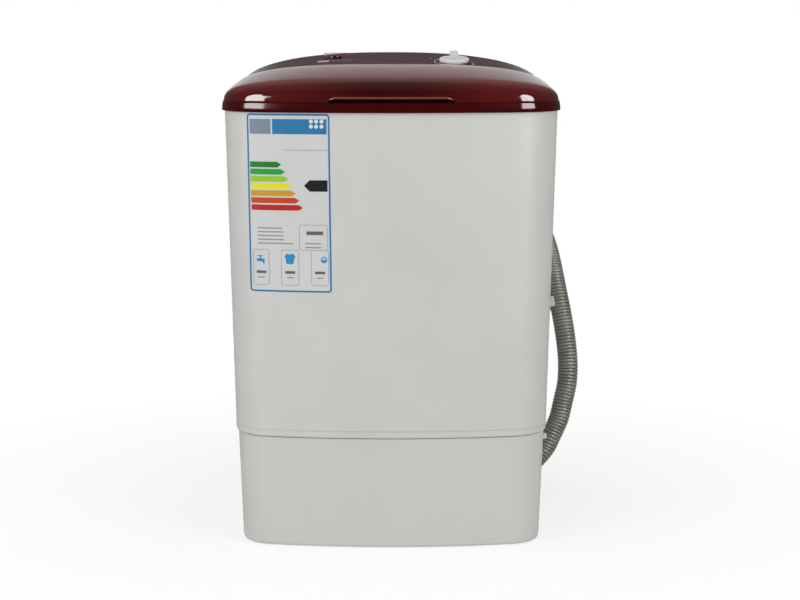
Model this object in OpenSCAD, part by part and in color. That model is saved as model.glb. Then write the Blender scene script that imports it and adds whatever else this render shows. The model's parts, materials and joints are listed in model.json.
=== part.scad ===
// Small single-tub washing machine: bulged white cabinet, dark top frame with a sloping
// control panel, see-through lid, wash tub with a ribbed pulsator, belt drive and drain hose.
// Sizes are in millimetres. The front faces -Y, and the origin is on the floor below the
// middle of the cabinet.

/* [Cabinet] */
// Width over the rim of the top frame
rim_w = 410; // [396:1:430]
// Depth over the rim of the top frame
rim_d = 372; // [366:1:392]
// Height of the rim's lower edge above the floor
rim_z = 534; // [520:1:570]
// Height of the rim band below the lid
rim_band = 11.5; // [11:0.5:16]
// How far the rim stands out over the casing
rim_overhang = 3.5; // [3.5:0.5:6]
// Radius of the bulged front in plan
front_bulge_r = 853; // [700:1:1200]
// Plan radius of the front corners
front_corner_r = 64; // [56:1:74]
// Plan radius of the back corners
back_corner_r = 40; // [36:1:46]
// Height of the seam between casing and base
seam_z = 139.5; // [138:0.5:147]
// How much each side of the casing draws in from rim to seam
casing_draft = 9.5; // [8:0.5:12]
// Wall thickness of the casing
casing_wall = 3; // [2.5:0.1:3.5]
// Width of the ledge inside the casing's top that carries the tub
ledge_w = 9; // [7:0.5:11]
// How far the base is set in under the casing
base_step = 2.5; // [1.5:0.5:3]
// How much each side of the base draws in from seam to floor
base_draft = 5; // [3:0.5:6]
// Wall thickness of the base
base_wall = 3.2; // [2.5:0.1:3.5]
// Height of the base's lower edge above the floor
base_edge_z = 1.2; // [1:0.2:4]
// Height of the spigot by which the base plugs into the casing
base_spigot_h = 13; // [8:1:16]

/* [Top frame] */
// Thickness of the frame's plate and walls
frame_wall = 3; // [2.5:0.1:3.2]
// How far the mouth over the tub stands in from the tub's side walls
mouth_inset = 6; // [4:1:14]
// Gap between the mouth's back edge and the lid's back edge
mouth_back_gap = 12; // [11:1:20]

/* [Lid] */
// Gap between the lid's back edge and the control panel
lid_back_gap = 24; // [23:1:25]
// Wall thickness of the lid
lid_wall = 2.5; // [2:0.1:3]
// Rise of the lid's top at the front edge
lid_front_rise = 23.5; // [18:0.5:24]
// Rise of the lid's top at the back edge
lid_back_rise = 37.5; // [35:0.5:38]
// Width of the finger slot
slot_w = 149; // [120:1:180]
// Height of the finger slot
slot_h = 4.2; // [4.1:0.1:5.5]
// Opening angle of the lid that the hinge allows
lid_open_deg = 95; // [80:1:95]
// Radius of the hinge pins
hinge_pin_r = 2.5; // [2:0.1:3]
// Distance of each hinge from the middle
hinge_x = 120; // [90:1:130]

/* [Control panel] */
// Depth of the control panel's housing, from the rim's back edge
panel_depth = 104; // [102:1:104]
// Rise of the panel at its back edge
panel_rise = 49.5; // [47:0.5:54]
// Slope of the panel to the front, in degrees
panel_slope = 9; // [7:0.5:10]
// Wall thickness of the panel
panel_wall = 2.6; // [2.2:0.1:3]
// Sideways place of the timer knob
knob_x = 83.5; // [70:0.5:90]
// Distance of the timer knob from the rim's back edge
knob_back = 66; // [62:0.5:70]
// Diameter of the timer knob's disc
knob_d = 39.5; // [34:0.5:42]
// Thickness of the knob's disc
knob_disc_h = 4.3; // [3:0.1:5]
// Width of the knob's grip
grip_w = 10.6; // [8:0.1:13]
// Height of the grip over the disc
grip_h = 6.7; // [5:0.1:8]
// Radius of the timer's shaft
timer_shaft_r = 3; // [2.5:0.1:3.5]
// Full turn of the timer knob, in degrees
timer_turn_deg = 300; // [270:5:330]
// Sideways place of the rocker switch
rocker_x = -75.5; // [-90:0.5:-60]
// Distance of the rocker switch from the rim's back edge
rocker_back = 36; // [34:0.5:42]
// Length of the rocker's lens shape
rocker_l = 22; // [19:0.5:24]
// Width of the rocker's lens shape
rocker_w = 13; // [11:0.5:14]
// Tilt of the rocker to each side, in degrees
rocker_tilt = 7; // [5:0.5:8]

/* [Tub] */
// Gap between the rim and the tub at each side
tub_side_gap = 33; // [29:1:35]
// Gap between the rim and the tub at the front
tub_front_gap = 22; // [20:1:24]
// Gap between the rim and the tub at the back
tub_back_gap = 66; // [64:1:68]
// Height of the tub's floor
tub_floor_z = 162; // [160:1:170]
// Wall thickness of the tub
tub_wall = 2.5; // [2.2:0.1:3]
// How much each wall of the tub draws in towards the floor
tub_draft = 8; // [6:0.5:10]
// Number of washboard ribs on each side wall
washboard_ribs = 7; // [5:1:9]

/* [Pulsator and drive] */
// Radius of the pulsator
pulsator_r = 108; // [96:1:112]
// Number of swept vanes
vane_count = 6; // [4:1:8]
// Height of the vanes over the dish
vane_h = 17; // [12:1:22]
// Radius of the pulsator's shaft
shaft_r = 6; // [5:0.1:6.5]
// Outer radius of the large pulley
large_pulley_r = 68; // [60:1:70]
// Outer radius of the motor's pulley
motor_pulley_r = 16; // [14:0.5:18]
// Middle height of the belt
belt_z = 50; // [46:1:54]
// Width of the belt
belt_w = 8.4; // [7:0.1:9]
// Thickness of the belt
belt_t = 6; // [5:0.1:6.5]
// Sideways place of the motor
motor_x = -80; // [-86:1:-76]
// Distance of the motor from the rim's back edge
motor_back = 85; // [84:1:88]
// Radius of the motor's housing
motor_r = 56; // [52:1:57]
// Radius of the motor's shaft
motor_shaft_r = 5; // [4:0.1:6]

/* [Water and drain] */
// Radius of the water inlet's stub
inlet_r = 10; // [8:0.5:10]
// Length of the water inlet's stub behind its flange
inlet_l = 22; // [15:1:30]
// Sideways place of the water inlet
inlet_x = -76; // [-84:1:-68]
// Distance of the drain from the tub's side wall
drain_in = 40; // [39:1:41]
// Outer radius of the drain pipe
drain_r = 13; // [12:0.5:13]
// Outer diameter of the ribbed hose over its ribs
hose_d = 27; // [25:0.5:27]
// Depth of the hose's grooves
hose_groove = 1.6; // [1:0.1:2]
// Radius of the hose's bore, to the corners of its eight sides
hose_bore_r = 10.6; // [10.4:0.1:10.8]
// Spacing of the hose's ribs
hose_pitch = 4.3; // [4.1:0.1:6]

/* [Feet and covers] */
// Radius of the rubber feet
foot_r = 15; // [12:0.5:18]
// Distance of the feet from the rim's plan, at the sides
foot_in_x = 70; // [65:1:85]
// Distance of the feet from the rim's plan, at front and back
foot_in_y = 64; // [61:1:76]
// Thickness of the bottom cover
cover_t = 2.5; // [2:0.1:3]
// Width of the service cover on the back
service_w = 172; // [160:1:190]
// Height of the service cover
service_h = 92; // [84:1:96]

/* [Hidden] */
$fn = 48;

// Clearances
seat_gap = 0.2;
slip_gap = 0.4;
pin_gap = 0.05;
belt_gap = 0.3;
overcut = 1;

// Heights that follow the driving sizes
lid_line = rim_z + rim_band;
hinge_z = lid_line + 24.5;
inlet_z = lid_line + 14.5;
ledge_t = 3;
casing_top = rim_z + 2;
flange_t = 3;
lid_gap = 0.3;
lip_round = 1.8;

// Places that follow the driving sizes
tub_half_w = rim_w / 2 - tub_side_gap;
tub_half_d = (rim_d - tub_front_gap - tub_back_gap) / 2;
tub_y = (tub_front_gap - tub_back_gap) / 2;
panel_front_y = rim_d / 2 - panel_depth;
lid_back_y = panel_front_y - lid_back_gap;
hinge_y = lid_back_y + 8;
mouth_half_w = tub_half_w - mouth_inset;
mouth_front_y = tub_y - tub_half_d + 4;
mouth_back_y = lid_back_y - mouth_back_gap;
knob_y = rim_d / 2 - knob_back;
rocker_y = rim_d / 2 - rocker_back;
motor_y = rim_d / 2 - motor_back;
drain_x = tub_half_w - drain_in;
drain_y = tub_y + tub_half_d - 56;
foot_x = rim_w / 2 - foot_in_x;
foot_y = rim_d / 2 - foot_in_y;

// Steps of the curved outlines
front_steps = 12;
corner_steps = 7;
back_steps = 6;
arch_steps = 11;

// Share of the half width that straight cross edges reach before their small corner
edge_share = 0.99;

// Points on an arc about (x, y), from angle a to angle b
function arc_points(x, y, r, a, b, steps) =
    [for (i = [0 : steps]) let (t = a + (b - a) * i / steps) [x + r * cos(t), y + r * sin(t)]];

function tail(list) = [for (i = [1 : len(list) - 1]) list[i]];
function head(list) = [for (i = [0 : len(list) - 2]) list[i]];
function reversed(list) = [for (i = [len(list) - 1 : -1 : 0]) list[i]];

// Plan of a cabinet part: bulged front, round corners, half width w and half depth d
function plan(w, d, bulge_r, front_r, back_r) =
    let (bulge_y = bulge_r - d,
         corner_y = bulge_y - sqrt(pow(bulge_r - front_r, 2) - pow(w - front_r, 2)),
         swing = atan2(w - front_r, bulge_y - corner_y))
    concat(
        arc_points(0, bulge_y, bulge_r, -90 - swing, -90 + swing, front_steps),
        tail(arc_points(w - front_r, corner_y, front_r, -90 + swing, 0, corner_steps)),
        arc_points(w - back_r, d - back_r, back_r, 0, 90, back_steps),
        arc_points(back_r - w, d - back_r, back_r, 90, 180, back_steps),
        head(arc_points(front_r - w, corner_y, front_r, 180, 270 - swing, corner_steps)));

function body_plan(inset) =
    plan(rim_w / 2 - inset, rim_d / 2 - inset, front_bulge_r - inset, front_corner_r - inset,
         back_corner_r - inset);

function shifted(outline, y) = [for (p = outline) [p[0], p[1] + y]];
function lifted(outline, z) = [for (p = outline) [p[0], p[1], z]];

// Inset of the outer walls from the rim's plan, at a height
function casing_inset(z) = rim_overhang + casing_draft * (rim_z - z) / (rim_z - seam_z);
function base_inset(z) = casing_inset(seam_z) + base_step + base_draft * (seam_z - z) / seam_z;

// Closed solid through rings of as many points each, with flat or fan ends
module loft(rings) {
    n = len(rings[0]);
    last = len(rings) - 1;
    middle_a = [for (k = [0 : 2]) sum_of([for (p = rings[0]) p[k]]) / n];
    middle_b = [for (k = [0 : 2]) sum_of([for (p = rings[last]) p[k]]) / n];
    points = concat([for (ring = rings) for (p = ring) p], [middle_a, middle_b]);
    ends = [for (j = [0 : n - 1]) let (k = (j + 1) % n)
        for (face = [[j, k, (last + 1) * n], [last * n + k, last * n + j, (last + 1) * n + 1]]) face];
    polyhedron(points, concat(ring_faces(len(rings) - 1, n, len(rings)), ends), convexity = 10);
}

// Closed tube-like solid through rings, where the last ring joins the first
module ring_loft(rings) {
    n = len(rings[0]);
    points = [for (ring = rings) for (p = ring) p];
    polyhedron(points, ring_faces(len(rings), n, len(rings)), convexity = 10);
}

function ring_faces(spans, n, ring_count) =
    [for (i = [0 : spans - 1]) for (j = [0 : n - 1])
        let (a = i * n + j,
             b = i * n + (j + 1) % n,
             c = ((i + 1) % ring_count) * n + (j + 1) % n,
             d = ((i + 1) % ring_count) * n + j)
        for (face = [[a, c, b], [a, d, c]]) face];

function sum_of(values, i = 0) = i >= len(values) ? 0 : values[i] + sum_of(values, i + 1);

// Straight tube with a bore, standing on its lower face
module tube(outer_r, inner_r, h) {
    difference() {
        cylinder(r = outer_r, h = h);
        translate([0, 0, -overcut]) cylinder(r = inner_r, h = h + 2 * overcut);
    }
}

// Turns +Z to a direction
module towards(direction) {
    flat = norm([direction[0], direction[1]]);
    rotate([0, atan2(flat, direction[2]), atan2(direction[1], direction[0])]) children();
}

module at_corners(x, y) {
    for (i = [-1, 1], j = [-1, 1]) translate([i * x, j * y, 0]) children();
}

module slot_cut(length, width, depth) {
    for (side = [-1, 1]) translate([side * (length - width) / 2, 0, 0]) cylinder(d = width, h = depth);
    translate([-(length - width) / 2, -width / 2, 0]) cube([length - width, width, depth]);
}

// Outer casing: drafted shell with a rounded lip, a fine groove above it and a ledge at the top
lip_h = 8;
groove_h = 0.6;
groove_t = 0.8;
module outer_casing() {
    lip_z = seam_z + lip_h;
    ledge_inset = casing_inset(casing_top) + casing_wall + ledge_w;
    color([0.80, 0.80, 0.78])
    ring_loft([
        lifted(body_plan(casing_inset(seam_z) + lip_round), seam_z),
        lifted(body_plan(casing_inset(seam_z) + lip_round / 3), seam_z + lip_round / 2),
        lifted(body_plan(casing_inset(seam_z + 2 * lip_round)), seam_z + 2 * lip_round),
        lifted(body_plan(casing_inset(lip_z)), lip_z),
        lifted(body_plan(casing_inset(lip_z) + groove_t), lip_z + groove_h),
        lifted(body_plan(casing_inset(lip_z)), lip_z + 2 * groove_h),
        lifted(body_plan(casing_inset(casing_top)), casing_top),
        lifted(body_plan(ledge_inset), casing_top),
        lifted(body_plan(ledge_inset), casing_top - ledge_t),
        lifted(body_plan(casing_inset(casing_top) + casing_wall), casing_top - ledge_t),
        lifted(body_plan(casing_inset(seam_z) + casing_wall), seam_z)]);
}

// Base casing: drafted shell with a curled lower edge and a spigot that plugs into the casing
base_floor_z = base_edge_z + 3.5;
curl_in = 2.6;
curl_lip = 3;
service_z = 78;
gland_x = 130;
gland_z = 92;
gland_r = 9;
function back_wall_y(z) = rim_d / 2 - base_inset(z);
base_lean = atan(base_draft / seam_z);
module base_casing() {
    edge_inset = base_inset(base_edge_z) + curl_in;
    curl_top_z = base_edge_z + 5;
    inner_low = base_inset(base_floor_z) + base_wall;
    spigot_top = seam_z + base_spigot_h;
    spigot_t = 2.5;
    opening_margin = 11;
    color([0.78, 0.78, 0.76])
    difference() {
        ring_loft([
            lifted(body_plan(edge_inset), base_edge_z),
            lifted(body_plan(edge_inset - 1.9), base_edge_z + 1.4),
            lifted(body_plan(base_inset(curl_top_z)), curl_top_z),
            lifted(body_plan(base_inset(seam_z)), seam_z),
            lifted(body_plan(casing_inset(seam_z) + casing_wall + slip_gap), seam_z),
            lifted(body_plan(casing_inset(spigot_top) + casing_wall + slip_gap), spigot_top),
            lifted(body_plan(casing_inset(spigot_top) + casing_wall + slip_gap + spigot_t), spigot_top),
            lifted(body_plan(casing_inset(seam_z) + casing_wall + slip_gap + spigot_t), seam_z),
            lifted(body_plan(base_inset(seam_z) + base_wall + slip_gap), seam_z - 6),
            lifted(body_plan(inner_low), base_floor_z),
            lifted(body_plan(inner_low + curl_lip), base_floor_z),
            lifted(body_plan(inner_low + curl_lip), base_edge_z)]);
        translate([0, back_wall_y(service_z), service_z]) rotate([-base_lean, 0, 0])
            cube([service_w - 2 * opening_margin, 30, service_h - 2 * opening_margin], center = true);
        translate([gland_x, back_wall_y(gland_z), gland_z]) rotate([-90 - base_lean, 0, 0])
            translate([0, 0, -15]) cylinder(r = gland_r / 2 + 1 + seat_gap, h = 30);
        outlet_line() translate([0, 0, wall_hole_from])
            cylinder(r = hose_d / 2 + 2 * seat_gap + 0.1, h = wall_hole_l);
    }
}

// Bottom cover: moulded plate with air slots, ribs and seats for the feet
module bottom_cover() {
    inset = base_inset(base_floor_z) + base_wall + slip_gap;
    slot_l = 46;
    slot_pitch = 11;
    rib_t = 2;
    rib_h = 5;
    color([0.30, 0.30, 0.30])
    difference() {
        union() {
            translate([0, 0, base_floor_z]) linear_extrude(cover_t) polygon(body_plan(inset));
            for (y = [32 - foot_y, foot_y - 42]) translate([-foot_x, y, base_floor_z])
                cube([2 * foot_x, rib_t, cover_t + rib_h]);
            for (x = [-60, 60]) translate([x, -foot_y, base_floor_z])
                cube([rib_t, 2 * foot_y, cover_t + rib_h]);
            translate([0, 0, base_floor_z]) at_corners(foot_x, foot_y) cylinder(r = foot_r, h = cover_t + 1);
        }
        at_corners(foot_x, foot_y) cylinder(r = foot_stem_r + seat_gap, h = 30);
        for (column = [-1, 0, 1], i = [-4 : 4]) translate([column * (slot_l + 10), i * slot_pitch, 0])
            slot_cut(slot_l, 4, 30);
    }
}

// Rubber feet: pads with a stem and a head that snaps through the bottom cover
foot_stem_r = 5.8;
module feet() {
    top = base_floor_z + cover_t + 1;
    color([0.12, 0.12, 0.12])
    at_corners(foot_x, foot_y)
        rotate_extrude()
            polygon([[0, 0], [foot_r - 2, 0], [foot_r, 2], [foot_r - 1, base_floor_z],
                [foot_stem_r, base_floor_z],
                [foot_stem_r, top], [foot_stem_r + 2.2, top], [foot_stem_r, top + 3], [0, top + 3]]);
}

// Service cover on the back: plate with a raised rim and louvre slots
module on_service_face() {
    translate([0, back_wall_y(service_z) + seat_gap, service_z]) rotate([-90 - base_lean, 0, 0]) children();
}
module service_cover() {
    corner = 8;
    plate_t = 2.5;
    louvre_rows = 7;
    louvre_l = 44;
    hood_t = 1.6;
    color([0.78, 0.78, 0.76])
    on_service_face() difference() {
        union() {
            at_corners(service_w / 2 - corner, service_h / 2 - corner) cylinder(r = corner, h = plate_t);
            translate([-service_w / 2 + corner, -service_h / 2, 0])
                cube([service_w - 2 * corner, service_h, plate_t]);
            translate([-service_w / 2, -service_h / 2 + corner, 0])
                cube([service_w, service_h - 2 * corner, plate_t]);
            for (column = [-1, 1], row = [-3 : 3]) translate([column * 30, row * 9 - 3, 0])
                translate([-louvre_l / 2, 0, 0]) cube([louvre_l, hood_t, plate_t + 1.6]);
        }
        for (column = [-1, 1], row = [1 : louvre_rows]) translate([column * 30, (row - 4) * 9, -overcut])
            slot_cut(louvre_l, 3.6, 10);
        translate([0, 0, -overcut]) at_corners(service_w / 2 - corner, service_h / 2 - corner)
            cylinder(r = 2, h = 10);
    }
}

module service_screws() {
    corner = 8;
    color([0.72, 0.72, 0.72])
    on_service_face() translate([0, 0, 2.5 + pin_gap])
        at_corners(service_w / 2 - corner, service_h / 2 - corner) {
            cylinder(r = 4, h = 1.6);
            translate([0, 0, 1.6]) cylinder(r1 = 4, r2 = 2.6, h = 1);
            translate([0, 0, -2.4]) cylinder(r = 1.8, h = 2.6);
        }
}

// Gland where the mains lead enters, screwed into the base's back wall
module cable_gland() {
    color([0.15, 0.15, 0.15])
    translate([gland_x, back_wall_y(gland_z) + seat_gap, gland_z]) rotate([-90 - base_lean, 0, 0])
        difference() {
            union() {
                cylinder(r = gland_r, h = 3);
                translate([0, 0, 3]) cylinder(r1 = gland_r - 1, r2 = gland_r - 3.5, h = 10);
                translate([0, 0, -8]) cylinder(r = gland_r / 2 + 1, h = 9);
            }
            translate([0, 0, -10]) cylinder(r = 3.6, h = 30);
        }
}

// Top frame: rim band, plate, mouth over the tub and the knuckles of the lid's hinges
ear_t = 6;
knuckle_t = 3;
knuckle_r = 6;
function mouth_plan(inset) =
    shifted(
        plan(mouth_half_w - inset, (mouth_back_y - mouth_front_y) / 2 - inset, 800, 46 - inset, 30 - inset),
        (mouth_back_y + mouth_front_y) / 2);
harness_x = 60;
harness_y = rim_d / 2 - 36;
module top_frame() {
    skirt_t = rim_overhang - slip_gap;
    plate_z = lid_line - frame_wall;
    color([0.24, 0.06, 0.07])
    difference() {
        union() {
            loft([
                lifted(body_plan(skirt_t + 0.2), plate_z),
                lifted(body_plan(skirt_t), rim_z),
                lifted(body_plan(0), rim_z),
                lifted(body_plan(1.0), lid_line - 1.6),
                lifted(body_plan(2.4), lid_line)]);
            translate([0, 0, casing_top + flange_t]) linear_extrude(plate_z - casing_top - flange_t + 0.5)
                polygon(mouth_plan(-frame_wall));
            for (side = [-1, 1], edge = [-1, 1])
                hinge_knuckle(side * hinge_x + edge * (ear_t + knuckle_t + 2 * slip_gap) / 2);
        }
        translate([0, 0, rim_z - overcut]) linear_extrude(rim_band + 2 * overcut) polygon(mouth_plan(0));
        translate([inlet_x, inlet_drop_y, rim_z]) cylinder(r = inlet_r + slip_gap, h = 30);
        translate([harness_x, harness_y, rim_z]) cylinder(r = 8, h = 30);
        for (side = [-1, 1]) translate([side * hinge_x, hinge_y, hinge_z]) rotate([0, 90, 0])
            cylinder(r = hinge_pin_r + pin_gap, h = 30, center = true);
    }
}
module hinge_knuckle(x) {
    translate([x - knuckle_t / 2, hinge_y, 0]) {
        translate([0, -knuckle_r, lid_line - 1]) cube([knuckle_t, 2 * knuckle_r, hinge_z - lid_line + 1]);
        translate([0, 0, hinge_z]) rotate([0, 90, 0]) cylinder(r = knuckle_r, h = knuckle_t);
    }
}

// Hinge pins: steel pins with a head, through knuckles and lid ears
module hinge_pins() {
    span = ear_t + 2 * knuckle_t + 2 * slip_gap;
    color([0.7, 0.7, 0.72])
    for (side = [-1, 1]) translate([side * hinge_x, hinge_y, hinge_z]) rotate([0, side * 90, 0]) {
        translate([0, 0, -span / 2 - 1]) cylinder(r = hinge_pin_r, h = span + 1);
        translate([0, 0, span / 2 + pin_gap]) cylinder(r = hinge_pin_r + 1.5, h = 1.5);
        translate([0, 0, span / 2 - 1]) cylinder(r = hinge_pin_r, h = 1.5);
    }
}

// Lid: see-through crowned shell, with a skirt, a finger slot with its lip, and two hinge ears
lid_plan_inset = 2.4;
lid_crown_power = 2.8;
lid_crown_fall = 0.38;
lid_front_run = 60;
lid_skirt = 2;
lid_middle_y = -60;
function lid_plan(inset) =
    let (w = rim_w / 2 - inset,
         d = rim_d / 2 - inset,
         bulge_r = front_bulge_r - inset,
         front_r = front_corner_r - inset,
         bulge_y = bulge_r - d,
         corner_y = bulge_y - sqrt(pow(bulge_r - front_r, 2) - pow(w - front_r, 2)),
         swing = atan2(w - front_r, bulge_y - corner_y),
         back = lid_back_y - inset + lid_plan_inset)
    concat(
        arc_points(0, bulge_y, bulge_r, -90 - swing, -90 + swing, front_steps),
        tail(arc_points(w - front_r, corner_y, front_r, -90 + swing, 0, corner_steps)),
        [[w, corner_y / 2 + back / 2], [w, back - 3]],
        [for (i = [0 : 2 * arch_steps]) [w * edge_share * sin(90 - i * 90 / arch_steps), back]],
        [[-w, back - 3], [-w, corner_y / 2 + back / 2]],
        head(arc_points(front_r - w, corner_y, front_r, 180, 270 - swing, corner_steps)));

// Front edge of the rim's plan at a sideways place
function front_edge_y(x, inset) =
    let (w = rim_w / 2 - inset,
         bulge_r = front_bulge_r - inset,
         front_r = front_corner_r - inset,
         bulge_y = bulge_r - (rim_d / 2 - inset),
         corner_y = bulge_y - sqrt(pow(bulge_r - front_r, 2) - pow(w - front_r, 2)),
         swing = atan2(w - front_r, bulge_y - corner_y),
         ax = min(abs(x), w))
    ax < bulge_r * sin(swing) ? bulge_y - sqrt(bulge_r * bulge_r - ax * ax)
        : corner_y - sqrt(max(0, front_r * front_r - pow(ax - (w - front_r), 2)));

function lid_height(x, y, inset) =
    let (across = max(0, 1 - pow(abs(x) / (rim_w / 2 - inset), lid_crown_power)),
         along = min(1, max(0, (y - front_edge_y(x, inset)) / lid_front_run)),
         backward = (y + rim_d / 2) / (lid_back_y + rim_d / 2),
         rise = lid_front_rise + (lid_back_rise - lid_front_rise) * backward)
    lid_line + lid_skirt + (rise - lid_skirt - (inset - lid_plan_inset)) * pow(across, lid_crown_fall)
        * pow(1 - pow(1 - along, 4), 0.42);

lid_steps = [1, 0.988, 0.965, 0.93, 0.88, 0.8, 0.66, 0.45, 0.2];
function lid_rings(inset) =
    let (outline = lid_plan(inset))
    concat([lifted(outline, lid_line + lid_gap)],
        [for (s = lid_steps) [for (p = outline)
            let (x = p[0] * s, y = lid_middle_y + (p[1] - lid_middle_y) * s)
            [x, y, lid_height(x, y, inset)]]]);

module lid() {
    foot_z = lid_line + lid_gap;
    slot_z = foot_z + slot_h;
    face = front_bulge_r - lid_plan_inset;
    half_turn = asin(slot_w / 2 / face);
    wall_turn = asin(pocket_wall / face);
    color([0.28, 0.07, 0.06, 0.55])
    difference() {
        union() {
            loft(concat(reversed(lid_rings(lid_plan_inset + lid_wall)), lid_rings(lid_plan_inset)));
            front_sector(half_turn + wall_turn)
                translate([face - pocket_depth - pocket_wall, foot_z])
                    square([pocket_depth + pocket_wall - 0.8, slot_h + pocket_wall]);
            front_sector(half_turn) translate([face - 2, slot_z])
                polygon([[0, 0], [2 + lip_out, 0.5], [2 + lip_out, 1.6], [0.4, 3.4]]);
            for (side = [-1, 1]) lid_ear(side * hinge_x);
        }
        front_sector(half_turn) translate([face - pocket_depth, foot_z - overcut])
            square([pocket_depth + 5, slot_h + overcut]);
        for (side = [-1, 1]) translate([side * hinge_x, hinge_y, hinge_z]) rotate([0, 90, 0])
            cylinder(r = hinge_pin_r + pin_gap, h = 30, center = true);
    }
}
pocket_wall = 2;
pocket_depth = 19.5;
lip_out = 1.2;
module front_sector(half_turn) {
    translate([0, front_bulge_r - rim_d / 2, 0]) rotate([0, 0, -90 - half_turn])
        rotate_extrude(angle = 2 * half_turn, $fn = 360) children();
}
module lid_ear(x) {
    translate([x - ear_t / 2, 0, 0]) {
        translate([0, hinge_y, hinge_z]) rotate([0, 90, 0]) cylinder(r = 5, h = ear_t);
        translate([0, lid_back_y - 1, hinge_z - 5]) cube([ear_t, hinge_y - lid_back_y + 1, 10]);
        translate([0, lid_back_y - 1, hinge_z - 12]) cube([ear_t, 3, 12]);
    }
}

// Control panel: crowned housing over the back of the frame, sloping to the front
panel_crown_power = 2.4;
panel_crown_fall = 0.46;
panel_plan_inset = 2.2;
panel_skirt = 1.5;
panel_edge_r = 4;
function panel_plan(inset) =
    let (w = rim_w / 2 - inset,
         d = rim_d / 2 - inset,
         back_r = back_corner_r - inset,
         front = panel_front_y + inset - panel_plan_inset)
    concat(
        [for (i = [0 : 2 * arch_steps]) [-w * edge_share * sin(90 - i * 90 / arch_steps), front]],
        [[w, front + 3]],
        arc_points(w - back_r, d - back_r, back_r, 0, 90, back_steps),
        [for (i = [-4 : 4]) [-(w - back_r) * i / 5, d]],
        arc_points(back_r - w, d - back_r, back_r, 90, 180, back_steps),
        [[-w, front + 3]]);

function crown(x, inset) =
    pow(max(0, 1 - pow(abs(x) / (rim_w / 2 - inset), panel_crown_power)), panel_crown_fall);
function edge_drop(distance) =
    let (r = panel_edge_r)
    distance >= r ? 0 : r - sqrt(r * r - pow(r - max(0, distance), 2));
function panel_height(x, y, inset) =
    let (drop = (rim_d / 2 - y) * tan(panel_slope),
         back_edge = edge_drop(rim_d / 2 - inset - y) * 0.9)
    let (rise = panel_rise - panel_skirt - drop - (inset - panel_plan_inset))
    lid_line + panel_skirt + max(0, rise * crown(x, inset) - back_edge);

panel_middle_y = (panel_front_y + rim_d / 2) / 2;
panel_steps = [1, 0.975, 0.93, 0.84, 0.68, 0.45, 0.2];
function panel_rings(inset) =
    let (outline = panel_plan(inset))
    concat([lifted(outline, lid_line + seat_gap)],
        [for (s = panel_steps) [for (p = outline)
            let (x = p[0] * s, y = panel_middle_y + (p[1] - panel_middle_y) * s)
            [x, y, panel_height(x, y, inset)]]]);

// Place on the panel: the plane of the panel at its middle line, seen from above it
function panel_z(y) = lid_line + panel_rise - (rim_d / 2 - y) * tan(panel_slope);
module on_panel(x, y, drop) {
    translate([x, y, panel_z(y)]) rotate([panel_slope, 0, 0]) translate([0, 0, -drop]) children();
}
knob_drop = 1.1;
rocker_drop = 1.4;
boss_r = knob_d / 2 + 3;
boss_t = 5;
module control_panel() {
    color([0.26, 0.10, 0.12])
    difference() {
        union() {
            loft(concat(reversed(panel_rings(panel_plan_inset + panel_wall)),
                panel_rings(panel_plan_inset)));
            on_panel(knob_x, knob_y, knob_drop) translate([0, 0, -boss_t])
                cylinder(r = boss_r, h = boss_t, $fn = 64);
            on_panel(rocker_x, rocker_y, rocker_drop) translate([0, 0, -5]) linear_extrude(5)
                lens(rocker_l + 7, rocker_w + 6);
        }
        on_panel(knob_x, knob_y, knob_drop) translate([0, 0, -20])
            cylinder(r = timer_shaft_r + 1.2, h = 40);
        on_panel(rocker_x, rocker_y, rocker_drop) translate([0, 0, -20]) linear_extrude(40)
            lens(rocker_l + 2 * slip_gap, rocker_w + 2 * slip_gap);
        translate([inlet_x, rim_d / 2 - 8, inlet_z]) rotate([-90, 0, 0])
            cylinder(r = inlet_r + slip_gap, h = 20);
    }
}

// Pointed lens outline from two arcs
module lens(length, width) {
    r = (length * length / 4 + width * width / 4) / width;
    intersection_for(side = [-1, 1]) translate([0, side * (r - width / 2)]) circle(r = r, $fn = 96);
}

// Spring timer under the panel: case with a mounting collar and terminals
timer_w = 42;
timer_h = 20;
module timer() {
    color([0.85, 0.82, 0.72])
    on_panel(knob_x, knob_y, knob_drop + boss_t + seat_gap) difference() {
        union() {
            translate([-timer_w / 2, -timer_w / 2, -timer_h]) cube([timer_w, timer_w, timer_h - 3]);
            translate([0, 0, -4]) cylinder(r = 14, h = 4);
            for (x = [-12, 0, 12]) translate([x - 3, timer_w / 2 - 1, -14]) cube([6, 8, 0.9]);
        }
        translate([0, 0, -timer_h - overcut]) cylinder(r = timer_shaft_r + pin_gap, h = timer_h + 10);
        for (x = [-1, 1]) translate([x * (timer_w / 2 - 4), -timer_w / 2 + 4, -timer_h - overcut])
            cylinder(r = 1.6, h = 30);
    }
}
module timer_shaft() {
    color([0.75, 0.75, 0.76])
    on_panel(knob_x, knob_y, knob_drop) translate([0, 0, -timer_h - 2])
        cylinder(r = timer_shaft_r, h = timer_h + 2 + 8);
}

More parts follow.
